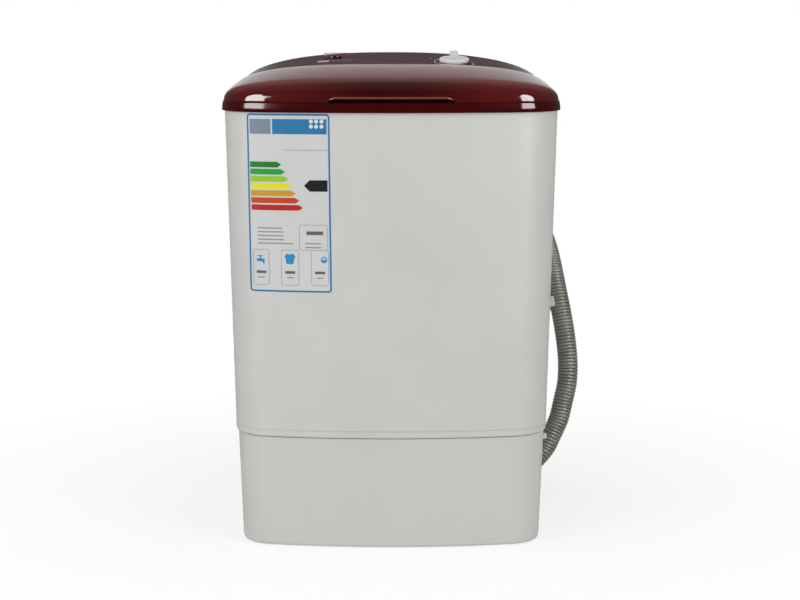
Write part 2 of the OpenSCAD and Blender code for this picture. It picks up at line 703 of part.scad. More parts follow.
// Timer knob: disc with a chamfered edge, a grip bar with round ends and a blind bore for the shaft
module timer_knob() {
    grip_l = knob_d - 3;
    color([0.93, 0.93, 0.92])
    on_panel(knob_x, knob_y, knob_drop - slip_gap) difference() {
        union() {
            rotate_extrude($fn = 72) polygon([[0, 0], [knob_d / 2 - 0.6, 0], [knob_d / 2, 0.8],
                [knob_d / 2, knob_disc_h - 0.8], [knob_d / 2 - 1, knob_disc_h], [0, knob_disc_h]]);
            rotate([0, 0, timer_rest_deg]) intersection() {
                translate([-grip_w / 2, -grip_l / 2, 1]) cube([grip_w, grip_l, grip_h + knob_disc_h - 1]);
                cylinder(r = grip_l / 2, h = 40, $fn = 72);
                translate([0, 0, grip_h + knob_disc_h - grip_round_r]) rotate([90, 0, 0])
                    cylinder(r = grip_round_r, h = grip_l, center = true, $fn = 96);
            }
            rotate([0, 0, timer_rest_deg]) translate([-0.9, grip_l / 2 - 9, 1])
                cube([1.8, 8, knob_disc_h + grip_h - 1.6]);
        }
        translate([0, 0, -overcut]) cylinder(r = timer_shaft_r + pin_gap, h = 8 + overcut + slip_gap + 0.2);
    }
}
timer_rest_deg = 0;
grip_round_r = 14;

// Rocker switch: housing below the panel, lens-shaped rocker that tips on a crosswise pivot
module switch_housing() {
    depth = 9;
    wall = 1.4;
    color([0.12, 0.12, 0.12])
    on_panel(rocker_x, rocker_y, rocker_drop + 5 + seat_gap) translate([0, 0, -depth]) difference() {
        linear_extrude(depth) lens(rocker_l + 8, rocker_w + 7);
        translate([0, 0, 2]) linear_extrude(depth) lens(rocker_l + 8 - 4 * wall, rocker_w + 7 - 2 * wall);
        for (y = [-1, 1]) translate([0, y * (rocker_w / 2 + 2.2), depth - rocker_pivot_drop])
            rotate([90, 0, 0])
            cylinder(r = rocker_pin_r + pin_gap, h = 6, center = true);
    }
}
rocker_pin_r = 1.2;
rocker_pivot_drop = 3;
rocker_clear = 2.4;
module rocker() {
    pin_half = rocker_w / 2 + 2.6;
    floor_drop = 5 + seat_gap + rocker_pivot_drop;
    color([0.72, 0.08, 0.07])
    on_panel(rocker_x, rocker_y, rocker_drop) translate([0, 0, -floor_drop]) rotate([0, -rocker_tilt, 0]) {
        difference() {
            intersection() {
                translate([0, 0, -2]) linear_extrude(floor_drop + rocker_clear + 2)
                    lens(rocker_l - 2 * rocker_side_gap, rocker_w - 0.6);
                union() for (side = [-1, 1]) rotate([0, side * rocker_tilt, 0])
                    translate([side > 0 ? -0.01 : -20, -10, -6])
                    cube([20.01, 20, 6 + floor_drop + rocker_clear - 1.2]);
            }
            translate([0, 0, floor_drop + 62]) rotate([90, 0, 0])
                cylinder(r = 60.4, h = 30, center = true, $fn = 180);
        }
        rotate([90, 0, 0]) cylinder(r = rocker_pin_r, h = 2 * pin_half, center = true);
    }
}
rocker_side_gap = 1;

// Water inlet: fitting on the console's back with a flange, a stub for the hose and a pipe to the tub
inlet_flange_w = 31;
inlet_flange_top = panel_z(rim_d / 2) - 3.5;
inlet_drop_y = panel_front_y + 22;
back_face_y = rim_d / 2 - panel_plan_inset;
module inlet_spigot() {
    low = lid_line + 3;
    color([0.66, 0.66, 0.65])
    difference() {
        union() {
            translate([inlet_x - inlet_flange_w / 2, back_face_y + seat_gap, low])
                cube([inlet_flange_w, 3, inlet_flange_top - low]);
            translate([inlet_x, back_face_y + seat_gap, inlet_z]) rotate([-90, 0, 0])
                cylinder(r = inlet_r, h = inlet_l + 3);
        }
        translate([inlet_x, back_face_y - 5, inlet_z]) rotate([-90, 0, 0])
            cylinder(r = inlet_r - 2.5, h = inlet_l + 20);
    }
}
module inlet_pipe() {
    bend_r = 14;
    run = back_face_y - inlet_drop_y - bend_r - seat_gap;
    fall = inlet_z - bend_r - (casing_top - 8);
    color([0.86, 0.86, 0.84])
    translate([inlet_x, inlet_drop_y + bend_r, inlet_z]) {
        rotate([-90, 0, 0]) tube(inlet_r, inlet_r - 2, run);
        translate([0, 0, -bend_r]) rotate([90, 0, -90]) rotate_extrude(angle = 90) translate([bend_r, 0])
            difference() {
            circle(r = inlet_r);
            circle(r = inlet_r - 2);
        }
        translate([0, -bend_r, -bend_r - fall]) tube(inlet_r, inlet_r - 2, fall);
    }
}

// Wash tub: drafted shell with a flange, washboard ribs, a bearing boss and bosses for the motor bracket
tub_bulge_r = 820;
tub_front_r = 50;
tub_back_r = 42;
floor_t = 3.2;
function tub_plan(inset) =
    shifted(plan(tub_half_w - inset, tub_half_d - inset, tub_bulge_r - inset, tub_front_r - inset,
        tub_back_r - inset), tub_y);
function tub_inset(z) = tub_draft * (casing_top - z) / (casing_top - tub_floor_z);
seal_r = 14;
boss_z = 141;
bosses = [for (y = [motor_y - 41, motor_y - 5], x = [motor_x - 70, motor_x + 70]) [x, y]];
harness_hole_r = 6;
housing_flange_r = 34;
module wash_tub() {
    below = tub_floor_z - floor_t;
    flange_inset = casing_inset(casing_top) + 4;
    color([0.90, 0.90, 0.88])
    difference() {
        union() {
            loft([
                lifted(tub_plan(tub_draft + 11), below),
                lifted(tub_plan(tub_draft + 3.4), below + 3),
                lifted(tub_plan(tub_inset(below + 11)), below + 11),
                lifted(tub_plan(0), casing_top),
                lifted(body_plan(flange_inset), casing_top),
                lifted(body_plan(flange_inset), casing_top + flange_t),
                lifted(tub_plan(tub_wall), casing_top + flange_t),
                lifted(tub_plan(tub_inset(tub_floor_z + 11) + tub_wall), tub_floor_z + 11),
                lifted(tub_plan(tub_draft + 3.4 + tub_wall), tub_floor_z + 3),
                lifted(tub_plan(tub_draft + 11 + tub_wall), tub_floor_z)]);
            translate([0, tub_y, below]) cylinder(r = housing_flange_r + 4, h = 4);
            for (b = bosses) translate([b[0], b[1], boss_z]) cylinder(r = 8, h = below - boss_z + 2);
            for (side = [-1, 1], i = [0 : washboard_ribs - 1]) washboard_rib(side, i);
        }
        translate([0, tub_y, below - 10]) cylinder(r = seal_r + 0.6, h = 30);
        translate([drain_x, drain_y, below - 10]) cylinder(r = drain_r - 1, h = 30);
        for (b = bosses) translate([b[0], b[1], boss_z - overcut]) cylinder(r = 2.4, h = 13);
        translate([harness_x, harness_y, casing_top - overcut]) cylinder(r = harness_hole_r, h = 10);
    }
}
module washboard_rib(side, i) {
    spacing = 17;
    rib_r = 4;
    low = tub_floor_z + 25;
    length = 250;
    inner = tub_half_w - tub_wall - tub_inset(low);
    lean = atan(tub_draft / (casing_top - tub_floor_z));
    translate([side * (inner + 1.4), tub_y + (i - (washboard_ribs - 1) / 2) * spacing, low])
        rotate([0, side * lean, 0])
        cylinder(r = rib_r, h = length, $fn = 24);
}

// Drain strainer: snap-in rose with slots over the tub's drain
module drain_strainer() {
    cap_r = drain_r + 3;
    color([0.86, 0.86, 0.84])
    translate([drain_x, drain_y, tub_floor_z]) difference() {
        union() {
            rotate_extrude()
                polygon([[0, seat_gap], [cap_r, seat_gap], [cap_r, 1.2], [cap_r - 3, 3.4], [0, 4.4]]);
            translate([0, 0, seat_gap - floor_t]) tube(drain_r - 1 - seat_gap, drain_r - 3, floor_t + 0.6);
        }
        for (turn = [0 : 60 : 300]) rotate([0, 0, turn]) translate([7.5, 0, -1]) slot_cut(8, 2.4, 10);
        translate([0, 0, -1]) cylinder(r = 1.6, h = 10);
        translate([0, 0, -6]) cylinder(r = drain_r - 3, h = 7);
    }
}

// Drain pipe: from under the tub to a sump, and on to the hose that leaves through the base's side wall
outlet_start = [drain_x + 32, drain_y, 33];
outlet_rise = 37.5;
outlet_step = 16.4 * [cos(outlet_rise), 0, sin(outlet_rise)];
wall_hole_from = 10;
wall_hole_l = 35;
nose_r = 9.2;
nose_l = 18;
module outlet_line() {
    translate(outlet_start) rotate([0, 90 - outlet_rise, 0]) children();
}
drain_bore_r = 8;
elbow_z = 25.5;
elbow_x = outlet_start[0] - (outlet_start[2] - elbow_z) / tan(outlet_rise);
straight_l = (outlet_start[0] - elbow_x) / cos(outlet_rise);
module drain_run(r, reach) {
    low = elbow_z - r - 1.5;
    translate([drain_x, drain_y, low]) cylinder(r = r + 0.4, h = tub_floor_z - floor_t - seat_gap - low);
    translate([drain_x, drain_y, elbow_z]) rotate([0, 90, 0])
        cylinder(r = r + 0.2, h = elbow_x - drain_x + 6);
    translate([elbow_x, drain_y, elbow_z]) rotate([0, 90 - outlet_rise, 0]) translate([0, 0, -3])
        cylinder(r = r, h = straight_l + reach + 3);
}
module drain_pipe() {
    top = tub_floor_z - floor_t - seat_gap;
    color([0.70, 0.70, 0.69])
    difference() {
        union() {
            drain_run(drain_r, -1);
            translate([drain_x, drain_y, top - 4]) cylinder(r = drain_r + 7, h = 4);
            outlet_line() translate([0, 0, -3]) cylinder(r = drain_r + 1, h = 3);
            outlet_line() translate([0, 0, -1]) cylinder(r = nose_r, h = nose_l + 1);
        }
        drain_run(drain_bore_r, 2 * nose_l);
        translate([drain_x, drain_y, top - 4]) cylinder(r = drain_r - 1, h = 5);
    }
}

// Route of the drain hose: out through the side wall, up past the clip, round the back corner and over
// the back; its points keep their distance from the walls when the cabinet's width or depth changes
route_width = 410;
route_depth = 372;
route_points = [[195, 64, 58], [202, 64, 66], [208, 64, 75], [214, 64, 88], [220, 65, 101], [225, 66, 114],
    [230, 68, 136], [235, 71, 160], [236, 76, 188], [233, 84, 220], [228, 96, 252], [222, 112, 284],
    [218, 132, 308], [214, 151, 328], [207, 171, 348], [191, 188, 368], [168, 195, 387], [140, 197, 405],
    [100, 197, 429], [60, 197, 452], [20, 197, 473], [-20, 198, 493], [-60, 199, 511], [-100, 201, 527],
    [-114, 202, 533], [-128, 202, 539]];
function fitted(p) =
    let (side = max(-1, min(1, p[0] / 160)),
         back = max(0, min(1, (p[1] - 64) / 122)),
         drain_shift = drain_y - 64,
         back_shift = (rim_d - route_depth) / 2)
    [p[0] + side * (rim_w - route_width) / 2, p[1] + drain_shift + back * (back_shift - drain_shift), p[2]];
hose_route = concat([for (k = [0 : 2]) outlet_start + k * outlet_step], [for (p = route_points) fitted(p)]);
hose_sides = 8;
hose_bore_step = 26;

function route_point(i, t) =
    let (n = len(hose_route),
         a = hose_route[max(0, i - 1)],
         b = hose_route[i],
         c = hose_route[min(n - 1, i + 1)],
         d = hose_route[min(n - 1, i + 2)])
    b + t * (c - a) / 2 + t * t * (2 * a - 5 * b + 4 * c - d) / 2 + t * t * t * (3 * b - a - 3 * c + d) / 2;

// Fine line along the route, with the length reached at each of its points
route_steps = 8;
route_line = concat(
    [for (i = [0 : len(hose_route) - 2], k = [0 : route_steps - 1]) route_point(i, k / route_steps)],
    [hose_route[len(hose_route) - 1]]);
function lengths(line, i = 0, total = 0) =
    i >= len(line) - 1 ? [total]
        : concat([total], lengths(line, i + 1, total + norm(line[i + 1] - line[i])));
route_lengths = lengths(route_line);
hose_length = route_lengths[len(route_lengths) - 1];

function span_at(s, low = 0, high = len(route_lengths) - 1) =
    high - low <= 1 ? low
        : let (middle = floor((low + high) / 2))
            route_lengths[middle] <= s ? span_at(s, middle, high) : span_at(s, low, middle);
function along_route(s) =
    let (i = span_at(min(max(s, 0), hose_length)),
         t = (s - route_lengths[i]) / (route_lengths[i + 1] - route_lengths[i]))
    route_line[i] + t * (route_line[i + 1] - route_line[i]);
function unit(v) = v / norm(v);
function route_direction(s) =
    s < hose_d ? unit(hose_route[1] - hose_route[0])
        : s > hose_length - hose_d ? unit(hose_route[len(hose_route) - 1] - hose_route[len(hose_route) - 2])
        : unit(along_route(s + 3) - along_route(s - 3));

// A ring square to the route: its first axis stays near the world direction that the hose never follows
function hose_ring(s, r) =
    let (forward = route_direction(s),
         side = unit(cross(forward, [0.45, -0.82, 0.35])),
         up = cross(side, forward),
         middle = along_route(s))
    [for (k = [0 : hose_sides - 1]) let (a = 360 * k / hose_sides)
        middle + r * (cos(a) * side + sin(a) * up)];

module drain_hose() {
    rib_count = floor(hose_length / hose_pitch);
    pitch = hose_length / rib_count;
    outer = [for (i = [0 : 2 * rib_count])
        hose_ring(i * pitch / 2, hose_d / 2 - (i % 2 == 0 ? 0 : hose_groove))];
    bore_count = ceil(hose_length / hose_bore_step);
    bore = [for (i = [bore_count : -1 : 0]) hose_ring(hose_length * i / bore_count, hose_bore_r)];
    color([0.45, 0.45, 0.43]) ring_loft(reversed(concat(outer, bore)));
}

// Cuff moulded on the hose's free end
cuff_l = 34;
module hose_end() {
    ring_r = hose_d / 2 + 0.5;
    neck_r = hose_d / 2 - 1;
    color([0.20, 0.20, 0.20])
    translate(hose_route[len(hose_route) - 1]) towards(route_direction(hose_length))
        difference() {
            rotate_extrude() polygon([[0, 0], [ring_r, 0], [ring_r, 6], [neck_r, 8], [neck_r, cuff_l - 5],
                [ring_r, cuff_l - 3], [ring_r, cuff_l], [0, cuff_l]]);
            translate([0, 0, -overcut]) cylinder(r = hose_bore_r, h = cuff_l + 2 * overcut);
        }
}

// Band clamp round the hose on the drain pipe's nose, with its screw housing
module hose_clamp() {
    band_r = hose_d / 2 + seat_gap;
    band_w = 9;
    color([0.72, 0.72, 0.73])
    outlet_line() translate([0, 0, 1.5]) difference() {
        union() {
            cylinder(r = band_r + 0.8, h = band_w);
            translate([-band_r - 5, -4, 0.5]) cube([7, 8, band_w - 1]);
            translate([-band_r - 2.5, 0, band_w / 2]) rotate([90, 0, 0])
                cylinder(r = 2, h = 14, center = true);
        }
        translate([0, 0, -overcut]) cylinder(r = band_r, h = band_w + 2 * overcut);
    }
}

// Open clip that holds the hose: ring section with a gap, stem and a foot plate on a wall
clip_w = 13;
clip_t = 2.4;
stem_w = 9;
stem_l = 30;
grip_r = hose_d / 2 + slip_gap;
cut_size = 120;
function hose_at(s) = [along_route(s), route_direction(s)];
module clip_ring(at, gap_half, gap_turn) {
    wide = 40;
    translate(at[0]) towards(at[1]) translate([0, 0, -clip_w / 2]) difference() {
        cylinder(r = grip_r + clip_t, h = clip_w);
        translate([0, 0, -overcut]) cylinder(r = grip_r, h = clip_w + 2 * overcut);
        translate([0, 0, -overcut]) rotate([0, 0, gap_turn]) linear_extrude(clip_w + 2 * overcut)
            polygon([[0, 0], [wide * sin(gap_half), -wide * cos(gap_half)], [0, -1.5 * wide],
                [-wide * sin(gap_half), -wide * cos(gap_half)]]);
    }
}
module clip_stem(at) {
    translate(at[0]) towards(at[1]) translate([-3, grip_r + 0.4, -stem_w / 2]) cube([6, stem_l, stem_w]);
}
module hose_space(at) {
    translate(at[0]) towards(at[1]) cylinder(r = grip_r, h = cut_size, center = true);
}

// Everything inside a side wall or a back wall that leans, at a point on its face
module inside_side_wall(place, lean) {
    translate(place) rotate([0, lean, 0]) translate([-cut_size / 2, 0, 0]) cube(cut_size, center = true);
}
module inside_back_wall(place, lean) {
    translate(place) rotate([-lean, 0, 0]) translate([0, -cut_size / 2, 0]) cube(cut_size, center = true);
}
side_lean = atan(casing_draft / (rim_z - seam_z));
clip_place = 260;
clip_gap_half = 87.5;
clip_gap_turn = -57.5;
module hose_clip() {
    at = hose_at(clip_place);
    wall_x = rim_w / 2 - casing_inset(at[0][2]) + seat_gap;
    foot = [wall_x, at[0][1] + (at[0][0] - wall_x) * at[1][0] / at[1][1], at[0][2]];
    color([0.80, 0.80, 0.79]) {
        clip_ring(at, clip_gap_half, clip_gap_turn);
        difference() {
            clip_stem(at);
            inside_side_wall([wall_x + 1, foot[1], foot[2]], side_lean);
        }
        translate(foot) rotate([0, side_lean, 0]) translate([0, -9, -clip_w / 2]) cube([2.5, 18, clip_w]);
    }
}

// Rest low on the base's side wall, open to the right, with a foot plate and a lip before the hose
rest_place = 79;
rest_h = 6;
rest_lip_x = 8.7;
module hose_rest() {
    at = hose_at(rest_place);
    wall_x = rim_w / 2 - base_inset(at[0][2]);
    arm_y = grip_r + clip_t;
    color([0.80, 0.80, 0.79])
    difference() {
        union() {
            translate([wall_x - 2, at[0][1] - arm_y, at[0][2] - rest_h / 2])
                cube([at[0][0] - rest_lip_x - wall_x + 2, 2 * arm_y, rest_h]);
            translate([wall_x - 1, at[0][1] - 10, at[0][2] - 9]) cube([3.4, 20, 18]);
        }
        hose_space(at);
        inside_side_wall([wall_x + seat_gap, at[0][1], at[0][2]], base_lean);
    }
}

// Hooks on the back wall, with the gap away from the wall
hook_gap_half = 62;
module hose_hook(s) {
    at = hose_at(s);
    wall_y = rim_d / 2 - casing_inset(at[0][2]) + seat_gap;
    clip_ring(at, hook_gap_half, 0);
    difference() {
        clip_stem(at);
        inside_back_wall([at[0][0], wall_y + 1, at[0][2]], side_lean);
    }
    difference() {
        translate([at[0][0] - 9, wall_y - 3, at[0][2] - 14]) cube([18, 5.8, 28]);
        inside_back_wall([at[0][0], wall_y, at[0][2]], side_lean);
        hose_space(at);
    }
}
right_hook_place = 482;
left_hook_place = 706;
module hose_hook_right() {
    color([0.80, 0.80, 0.79]) hose_hook(right_hook_place);
}
module hose_hook_left() {
    color([0.80, 0.80, 0.79]) hose_hook(left_hook_place);
}

// Pulsator: dished disc with swept vanes, a rim, a hub and rows of water holes
pulsator_z = tub_floor_z + 3;
dish_t = 3;
hub_r = 17;
hub_h = 20;
rim_rise = 8;
module pulsator() {
    top_r = pulsator_r - 3;
    sweep_r = 62;
    vane_t = 9;
    color([0.84, 0.84, 0.82])
    translate([0, tub_y, pulsator_z]) difference() {
        union() {
            rotate_extrude($fn = 96)
                polygon([[0, 3], [hub_r, 3], [pulsator_r - 9, 0], [pulsator_r - 3, rim_rise - 3],
                [pulsator_r, rim_rise], [pulsator_r - 1, rim_rise + 1.6], [top_r - 2, rim_rise],
                [top_r - 9, dish_t + 1],
                [hub_r + 12, dish_t + 5], [hub_r, hub_h], [0, hub_h + 1.5]]);
            intersection() {
                union() for (turn = [0 : vane_count - 1]) rotate([0, 0, turn * 360 / vane_count])
                    translate([0, sweep_r - 8, 0]) difference() {
                        cylinder(r = sweep_r + vane_t / 2, h = 60, $fn = 96);
                        translate([0, 0, -overcut]) cylinder(r = sweep_r - vane_t / 2, h = 70, $fn = 96);
                        translate([-200, -200, -overcut]) cube([200, 400, 70]);
                        translate([-200, 20, -overcut]) cube([400, 200, 70]);
                    }
                rotate_extrude($fn = 96)
                    polygon([[hub_r - 2, 4], [pulsator_r - 14, 2.5], [pulsator_r - 10, rim_rise],
                    [pulsator_r - 22, vane_h + 3], [hub_r + 12, vane_h + 6], [hub_r - 2, hub_h - 1]]);
            }
        }
        translate([0, 0, -20]) cylinder(r = shaft_r + pin_gap, h = 20 + shaft_seat_h);
        translate([0, 0, -20]) cylinder(r = 3.2, h = 60);
        for (ring = [0 : 2], turn = [0 : vane_count - 1])
            rotate([0, 0, (turn + 0.62 - ring * 0.06) * 360 / vane_count])
            translate([45 + ring * 16, 0, -overcut]) cylinder(r = 2.2, h = 30, $fn = 16);
    }
}
shaft_seat_h = 13;
module pulsator_screw() {
    color([0.75, 0.75, 0.76])
    translate([0, tub_y, pulsator_z + hub_h + 1.5 + pin_gap]) {
        cylinder(r = 6.5, h = 3);
        translate([0, 0, 3]) cylinder(r1 = 6.5, r2 = 4.5, h = 1.4);
        translate([0, 0, -18]) cylinder(r = 2.9, h = 18.1);
    }
}
shaft_low_z = 36;
module pulsator_shaft() {
    color([0.75, 0.75, 0.76])
    translate([0, tub_y, shaft_low_z]) difference() {
        cylinder(r = shaft_r, h = pulsator_z + shaft_seat_h - shaft_low_z);
        translate([0, 0, pulsator_z + shaft_seat_h - shaft_low_z - 12]) cylinder(r = 2.95, h = 20);
    }
}

// Large pulley: grooved rim, spoked web with round holes, hub
groove_depth = 8;
module large_pulley() {
    half = belt_w / 2 + 1.2;
    color([0.55, 0.55, 0.56])
    translate([0, tub_y, belt_z]) difference() {
        union() {
            rotate_extrude($fn = 96) polygon([[large_pulley_r - 14, -half - 1], [large_pulley_r, -half - 1],
                [large_pulley_r, -half], [large_pulley_r - groove_depth, -belt_w / 2 - belt_gap],
                [large_pulley_r - groove_depth, belt_w / 2 + belt_gap], [large_pulley_r, half],
                [large_pulley_r, half + 1], [large_pulley_r - 14, half + 1]]);
            translate([0, 0, -2]) cylinder(r = large_pulley_r - 13, h = 4);
            translate([0, 0, -12]) cylinder(r = 15, h = 24);
            for (turn = [0 : 60 : 300]) rotate([0, 0, turn]) translate([12, -1.5, -half])
                cube([large_pulley_r - 25, 3, 2 * half]);
        }
        translate([0, 0, -20]) cylinder(r = shaft_r + pin_gap, h = 40);
        for (turn = [30 : 60 : 330]) rotate([0, 0, turn]) translate([34, 0, -10]) cylinder(r = 10, h = 20);
    }
}

// Bearing housing under the tub, with two bushes and the seal on top
housing_top = tub_floor_z - floor_t - seat_gap;
housing_low = 74;
housing_r = 17;
bush_r = 10;
module bearing_housing() {
    color([0.62, 0.62, 0.63])
    translate([0, tub_y, 0]) difference() {
        union() {
            translate([0, 0, housing_low]) cylinder(r = housing_r, h = housing_top - housing_low);
            translate([0, 0, housing_top - 5]) cylinder(r = housing_flange_r, h = 5);
            for (turn = [0 : 90 : 270]) rotate([0, 0, turn + 45])
                translate([housing_r - 2, -1.5, housing_top - 40])
                cube([13, 3, 38]);
        }
        translate([0, 0, housing_low - overcut]) cylinder(r = bush_r + pin_gap, h = 200);
        translate([0, 0, housing_top - seal_h]) cylinder(r = seal_r + pin_gap, h = 20);
        for (turn = [0 : 90 : 270]) rotate([0, 0, turn]) translate([27, 0, housing_top - 20])
            cylinder(r = 2.6, h = 40);
    }
}
seal_h = 7;
module housing_screws() {
    color([0.75, 0.75, 0.76])
    for (turn = [0 : 90 : 270])
        translate([0, tub_y, housing_top - 5 - pin_gap]) rotate([0, 0, turn]) translate([27, 0, 0]) {
        translate([0, 0, -3]) cylinder(r = 4.4, h = 3);
        cylinder(r = 2.4, h = 4.8);
    }
}
module bearing_bushes() {
    color([0.72, 0.55, 0.30])
    for (low = [housing_low + 1, housing_top - seal_h - 21]) translate([0, tub_y, low])
        tube(bush_r, shaft_r + pin_gap, 20);
}
module water_seal() {
    low = housing_top - seal_h + pin_gap;
    color([0.10, 0.10, 0.10])
    translate([0, tub_y, low]) difference() {
        union() {
            cylinder(r = seal_r, h = seal_h - 1);
            cylinder(r = shaft_r + 3, h = seal_h + 2);
        }
        translate([0, 0, -overcut]) cylinder(r = shaft_r + pin_gap, h = 30);
        translate([0, 0, 2]) difference() {
            cylinder(r = seal_r - 2.4, h = 20);
            translate([0, 0, -overcut]) cylinder(r = shaft_r + 2, h = 30);
        }
    }
}

// Belt: one closed loop round both pulleys, on the line of their grooves
motor_offset = [motor_x, motor_y - tub_y];
belt_span = norm(motor_offset);
belt_turn = atan2(motor_offset[1], motor_offset[0]);
function belt_outline(big_r, small_r) =
    let (a = acos((big_r - small_r) / belt_span))
    concat(arc_points(0, 0, big_r, a, 360 - a, 64), arc_points(belt_span, 0, small_r, -a, a, 24));
module drive_belt() {
    big_r = large_pulley_r - groove_depth + belt_gap;
    small_r = motor_pulley_r - groove_depth + belt_gap;
    color([0.13, 0.13, 0.13])
    translate([0, tub_y, belt_z - belt_w / 2]) rotate([0, 0, belt_turn]) linear_extrude(belt_w)
        difference() {
        polygon(belt_outline(big_r + belt_t, small_r + belt_t));
        polygon(belt_outline(big_r, small_r));
    }
}

// Motor: pulley and fan on the shaft, laminated stator, windings, two shields, bracket
module motor_pulley() {
    half = belt_w / 2 + 1.2;
    color([0.62, 0.62, 0.63])
    translate([motor_x, motor_y, belt_z]) difference() {
        rotate_extrude($fn = 64)
            polygon([[0, -half - 1.4], [motor_pulley_r, -half - 1.4], [motor_pulley_r, -half],
            [motor_pulley_r - groove_depth, -belt_w / 2 - belt_gap],
            [motor_pulley_r - groove_depth, belt_w / 2 + belt_gap],
            [motor_pulley_r, half], [motor_pulley_r, half + 1], [0, half + 1]]);
        translate([0, 0, -20]) cylinder(r = motor_shaft_r + pin_gap, h = 40);
    }
}
module cooling_fan() {
    fan_r = 40;
    blades = 9;
    h = 11;
    low = 27;
    color([0.20, 0.22, 0.25])
    translate([motor_x, motor_y, low]) difference() {
        union() {
            cylinder(r = 11, h = h + 2);
            translate([0, 0, h - 2]) cylinder(r = fan_r, h = 2);
            for (turn = [0 : blades - 1]) rotate([0, 0, turn * 360 / blades]) intersection() {
                translate([0, 24, 0]) difference() {
                    cylinder(r = 26, h = h - 1);
                    translate([0, 0, -overcut]) cylinder(r = 24.2, h = h + overcut);
                }
                translate([3, -10, 0]) cube([24, 40, h]);
            }
        }
        translate([0, 0, -overcut]) cylinder(r = motor_shaft_r + pin_gap, h = 40);
    }
}
rotor_low = 82;
rotor_h = 34;
rotor_r = 27;
motor_shaft_low = 26;
motor_shaft_top = 134;
module rotor() {
    color([0.66, 0.66, 0.68])
    translate([motor_x, motor_y, 0]) {
        translate([0, 0, motor_shaft_low])
            cylinder(r = motor_shaft_r, h = motor_shaft_top - motor_shaft_low);
        translate([0, 0, rotor_low]) cylinder(r = rotor_r, h = rotor_h);
        for (z = [rotor_low - 2.5, rotor_low + rotor_h]) translate([0, 0, z])
            cylinder(r = rotor_r - 3, h = 2.5);
    }
}
module stator() {
    side = 94;
    color([0.35, 0.36, 0.38])
    translate([motor_x, motor_y, rotor_low]) difference() {
        intersection() {
            translate([-side / 2, -side / 2, 0]) cube([side, side, rotor_h]);
            cylinder(r = motor_r, h = rotor_h, $fn = 72);
        }
        translate([0, 0, -overcut]) cylinder(r = rotor_r + slip_gap, h = rotor_h + 2 * overcut);
        for (turn = [0 : 90 : 270]) rotate([0, 0, turn + 45]) translate([motor_r - 7, 0, -overcut])
            cylinder(r = 2.6, h = 60);
    }
}
module motor_windings() {
    color([0.70, 0.38, 0.16])
    translate([motor_x, motor_y, 0])
        for (z = [rotor_low - 6 - seat_gap, rotor_low + rotor_h + 6 + seat_gap])
        translate([0, 0, z]) rotate_extrude() translate([37, 0]) intersection() {
            circle(r = 6.5);
            square([14, 12], center = true);
        }
}
module motor_shield(h) {
    wall = 2;
    hub = 12;
    difference() {
        union() {
            rotate_extrude($fn = 72)
                polygon([[motor_r - wall - 1, 0], [motor_r - 1, 0], [motor_r - 1, h - 6], [motor_r - 7, h],
                [0, h], [0, h - wall], [motor_r - 8, h - wall], [motor_r - wall - 1, h - 7]]);
            translate([0, 0, h - 9]) cylinder(r = hub + 2.5, h = 8);
        }
        translate([0, 0, -overcut]) cylinder(r = motor_shaft_r + 1, h = 60);
        translate([0, 0, h - 9 - overcut]) cylinder(r = hub + pin_gap, h = 8);
        for (turn = [0 : 45 : 315]) rotate([0, 0, turn + 22.5]) translate([30, 0, h - 5])
            slot_cut(20, 7, 12);
    }
}
module motor_upper_shield() {
    color([0.60, 0.61, 0.62])
    translate([motor_x, motor_y, rotor_low + rotor_h]) motor_shield(upper_h);
}
module motor_lower_shield() {
    color([0.60, 0.61, 0.62])
    translate([motor_x, motor_y, rotor_low]) mirror([0, 0, 1]) motor_shield(lower_h);
}
upper_h = 18;
lower_h = 20;
module motor_bearings() {
    color([0.74, 0.74, 0.75])
    translate([motor_x, motor_y, 0]) for (z = [rotor_low + rotor_h + upper_h - 9, rotor_low - lower_h + 3])
        translate([0, 0, z]) tube(12, motor_shaft_r + pin_gap, 6);
}
bracket_z = rotor_low + rotor_h + upper_h + seat_gap;
bracket_t = 2.5;
module motor_bracket() {
    left = bosses[0][0] - 12;
    width = bosses[1][0] - bosses[0][0] + 24;
    front = bosses[0][1] - 10;
    back = motor_y + 42;
    color([0.68, 0.69, 0.71])
    difference() {
        union() {
            translate([left, front, bracket_z]) cube([width, back - front, bracket_t]);
            for (x = [left, left + width - bracket_t]) translate([x, front, bracket_z - 8])
                cube([bracket_t, back - front, 8.5]);
        }
        translate([motor_x, motor_y, bracket_z - overcut]) cylinder(r = 16, h = 10);
        for (turn = [22.5 : 45 : 337.5]) translate([motor_x, motor_y, bracket_z - overcut])
            rotate([0, 0, turn])
            translate([32, 0, 0]) cylinder(r = 5, h = 10);
        for (b = bosses) translate([b[0], b[1], bracket_z - overcut]) cylinder(r = 6 + seat_gap, h = 10);
    }
}

// Rubber mounts between bracket and tub, and the screws through them
module motor_mounts() {
    top = boss_z - seat_gap;
    color([0.10, 0.10, 0.10])
    for (b = bosses) translate([b[0], b[1], 0]) difference() {
        union() {
            translate([0, 0, bracket_z + bracket_t + pin_gap])
                cylinder(r = 9, h = top - bracket_z - bracket_t - pin_gap);
            translate([0, 0, bracket_z - 4]) cylinder(r = 6, h = bracket_t + 6);
            translate([0, 0, bracket_z - 4]) cylinder(r = 8, h = 4 - pin_gap);
        }
        cylinder(r = 2.4, h = 200);
    }
}
module bracket_screws() {
    color([0.75, 0.75, 0.76])
    for (b = bosses) translate([b[0], b[1], bracket_z - 4 - pin_gap]) {
        translate([0, 0, -3]) cylinder(r = 5, h = 3);
        cylinder(r = 2.3, h = 20);
    }
}

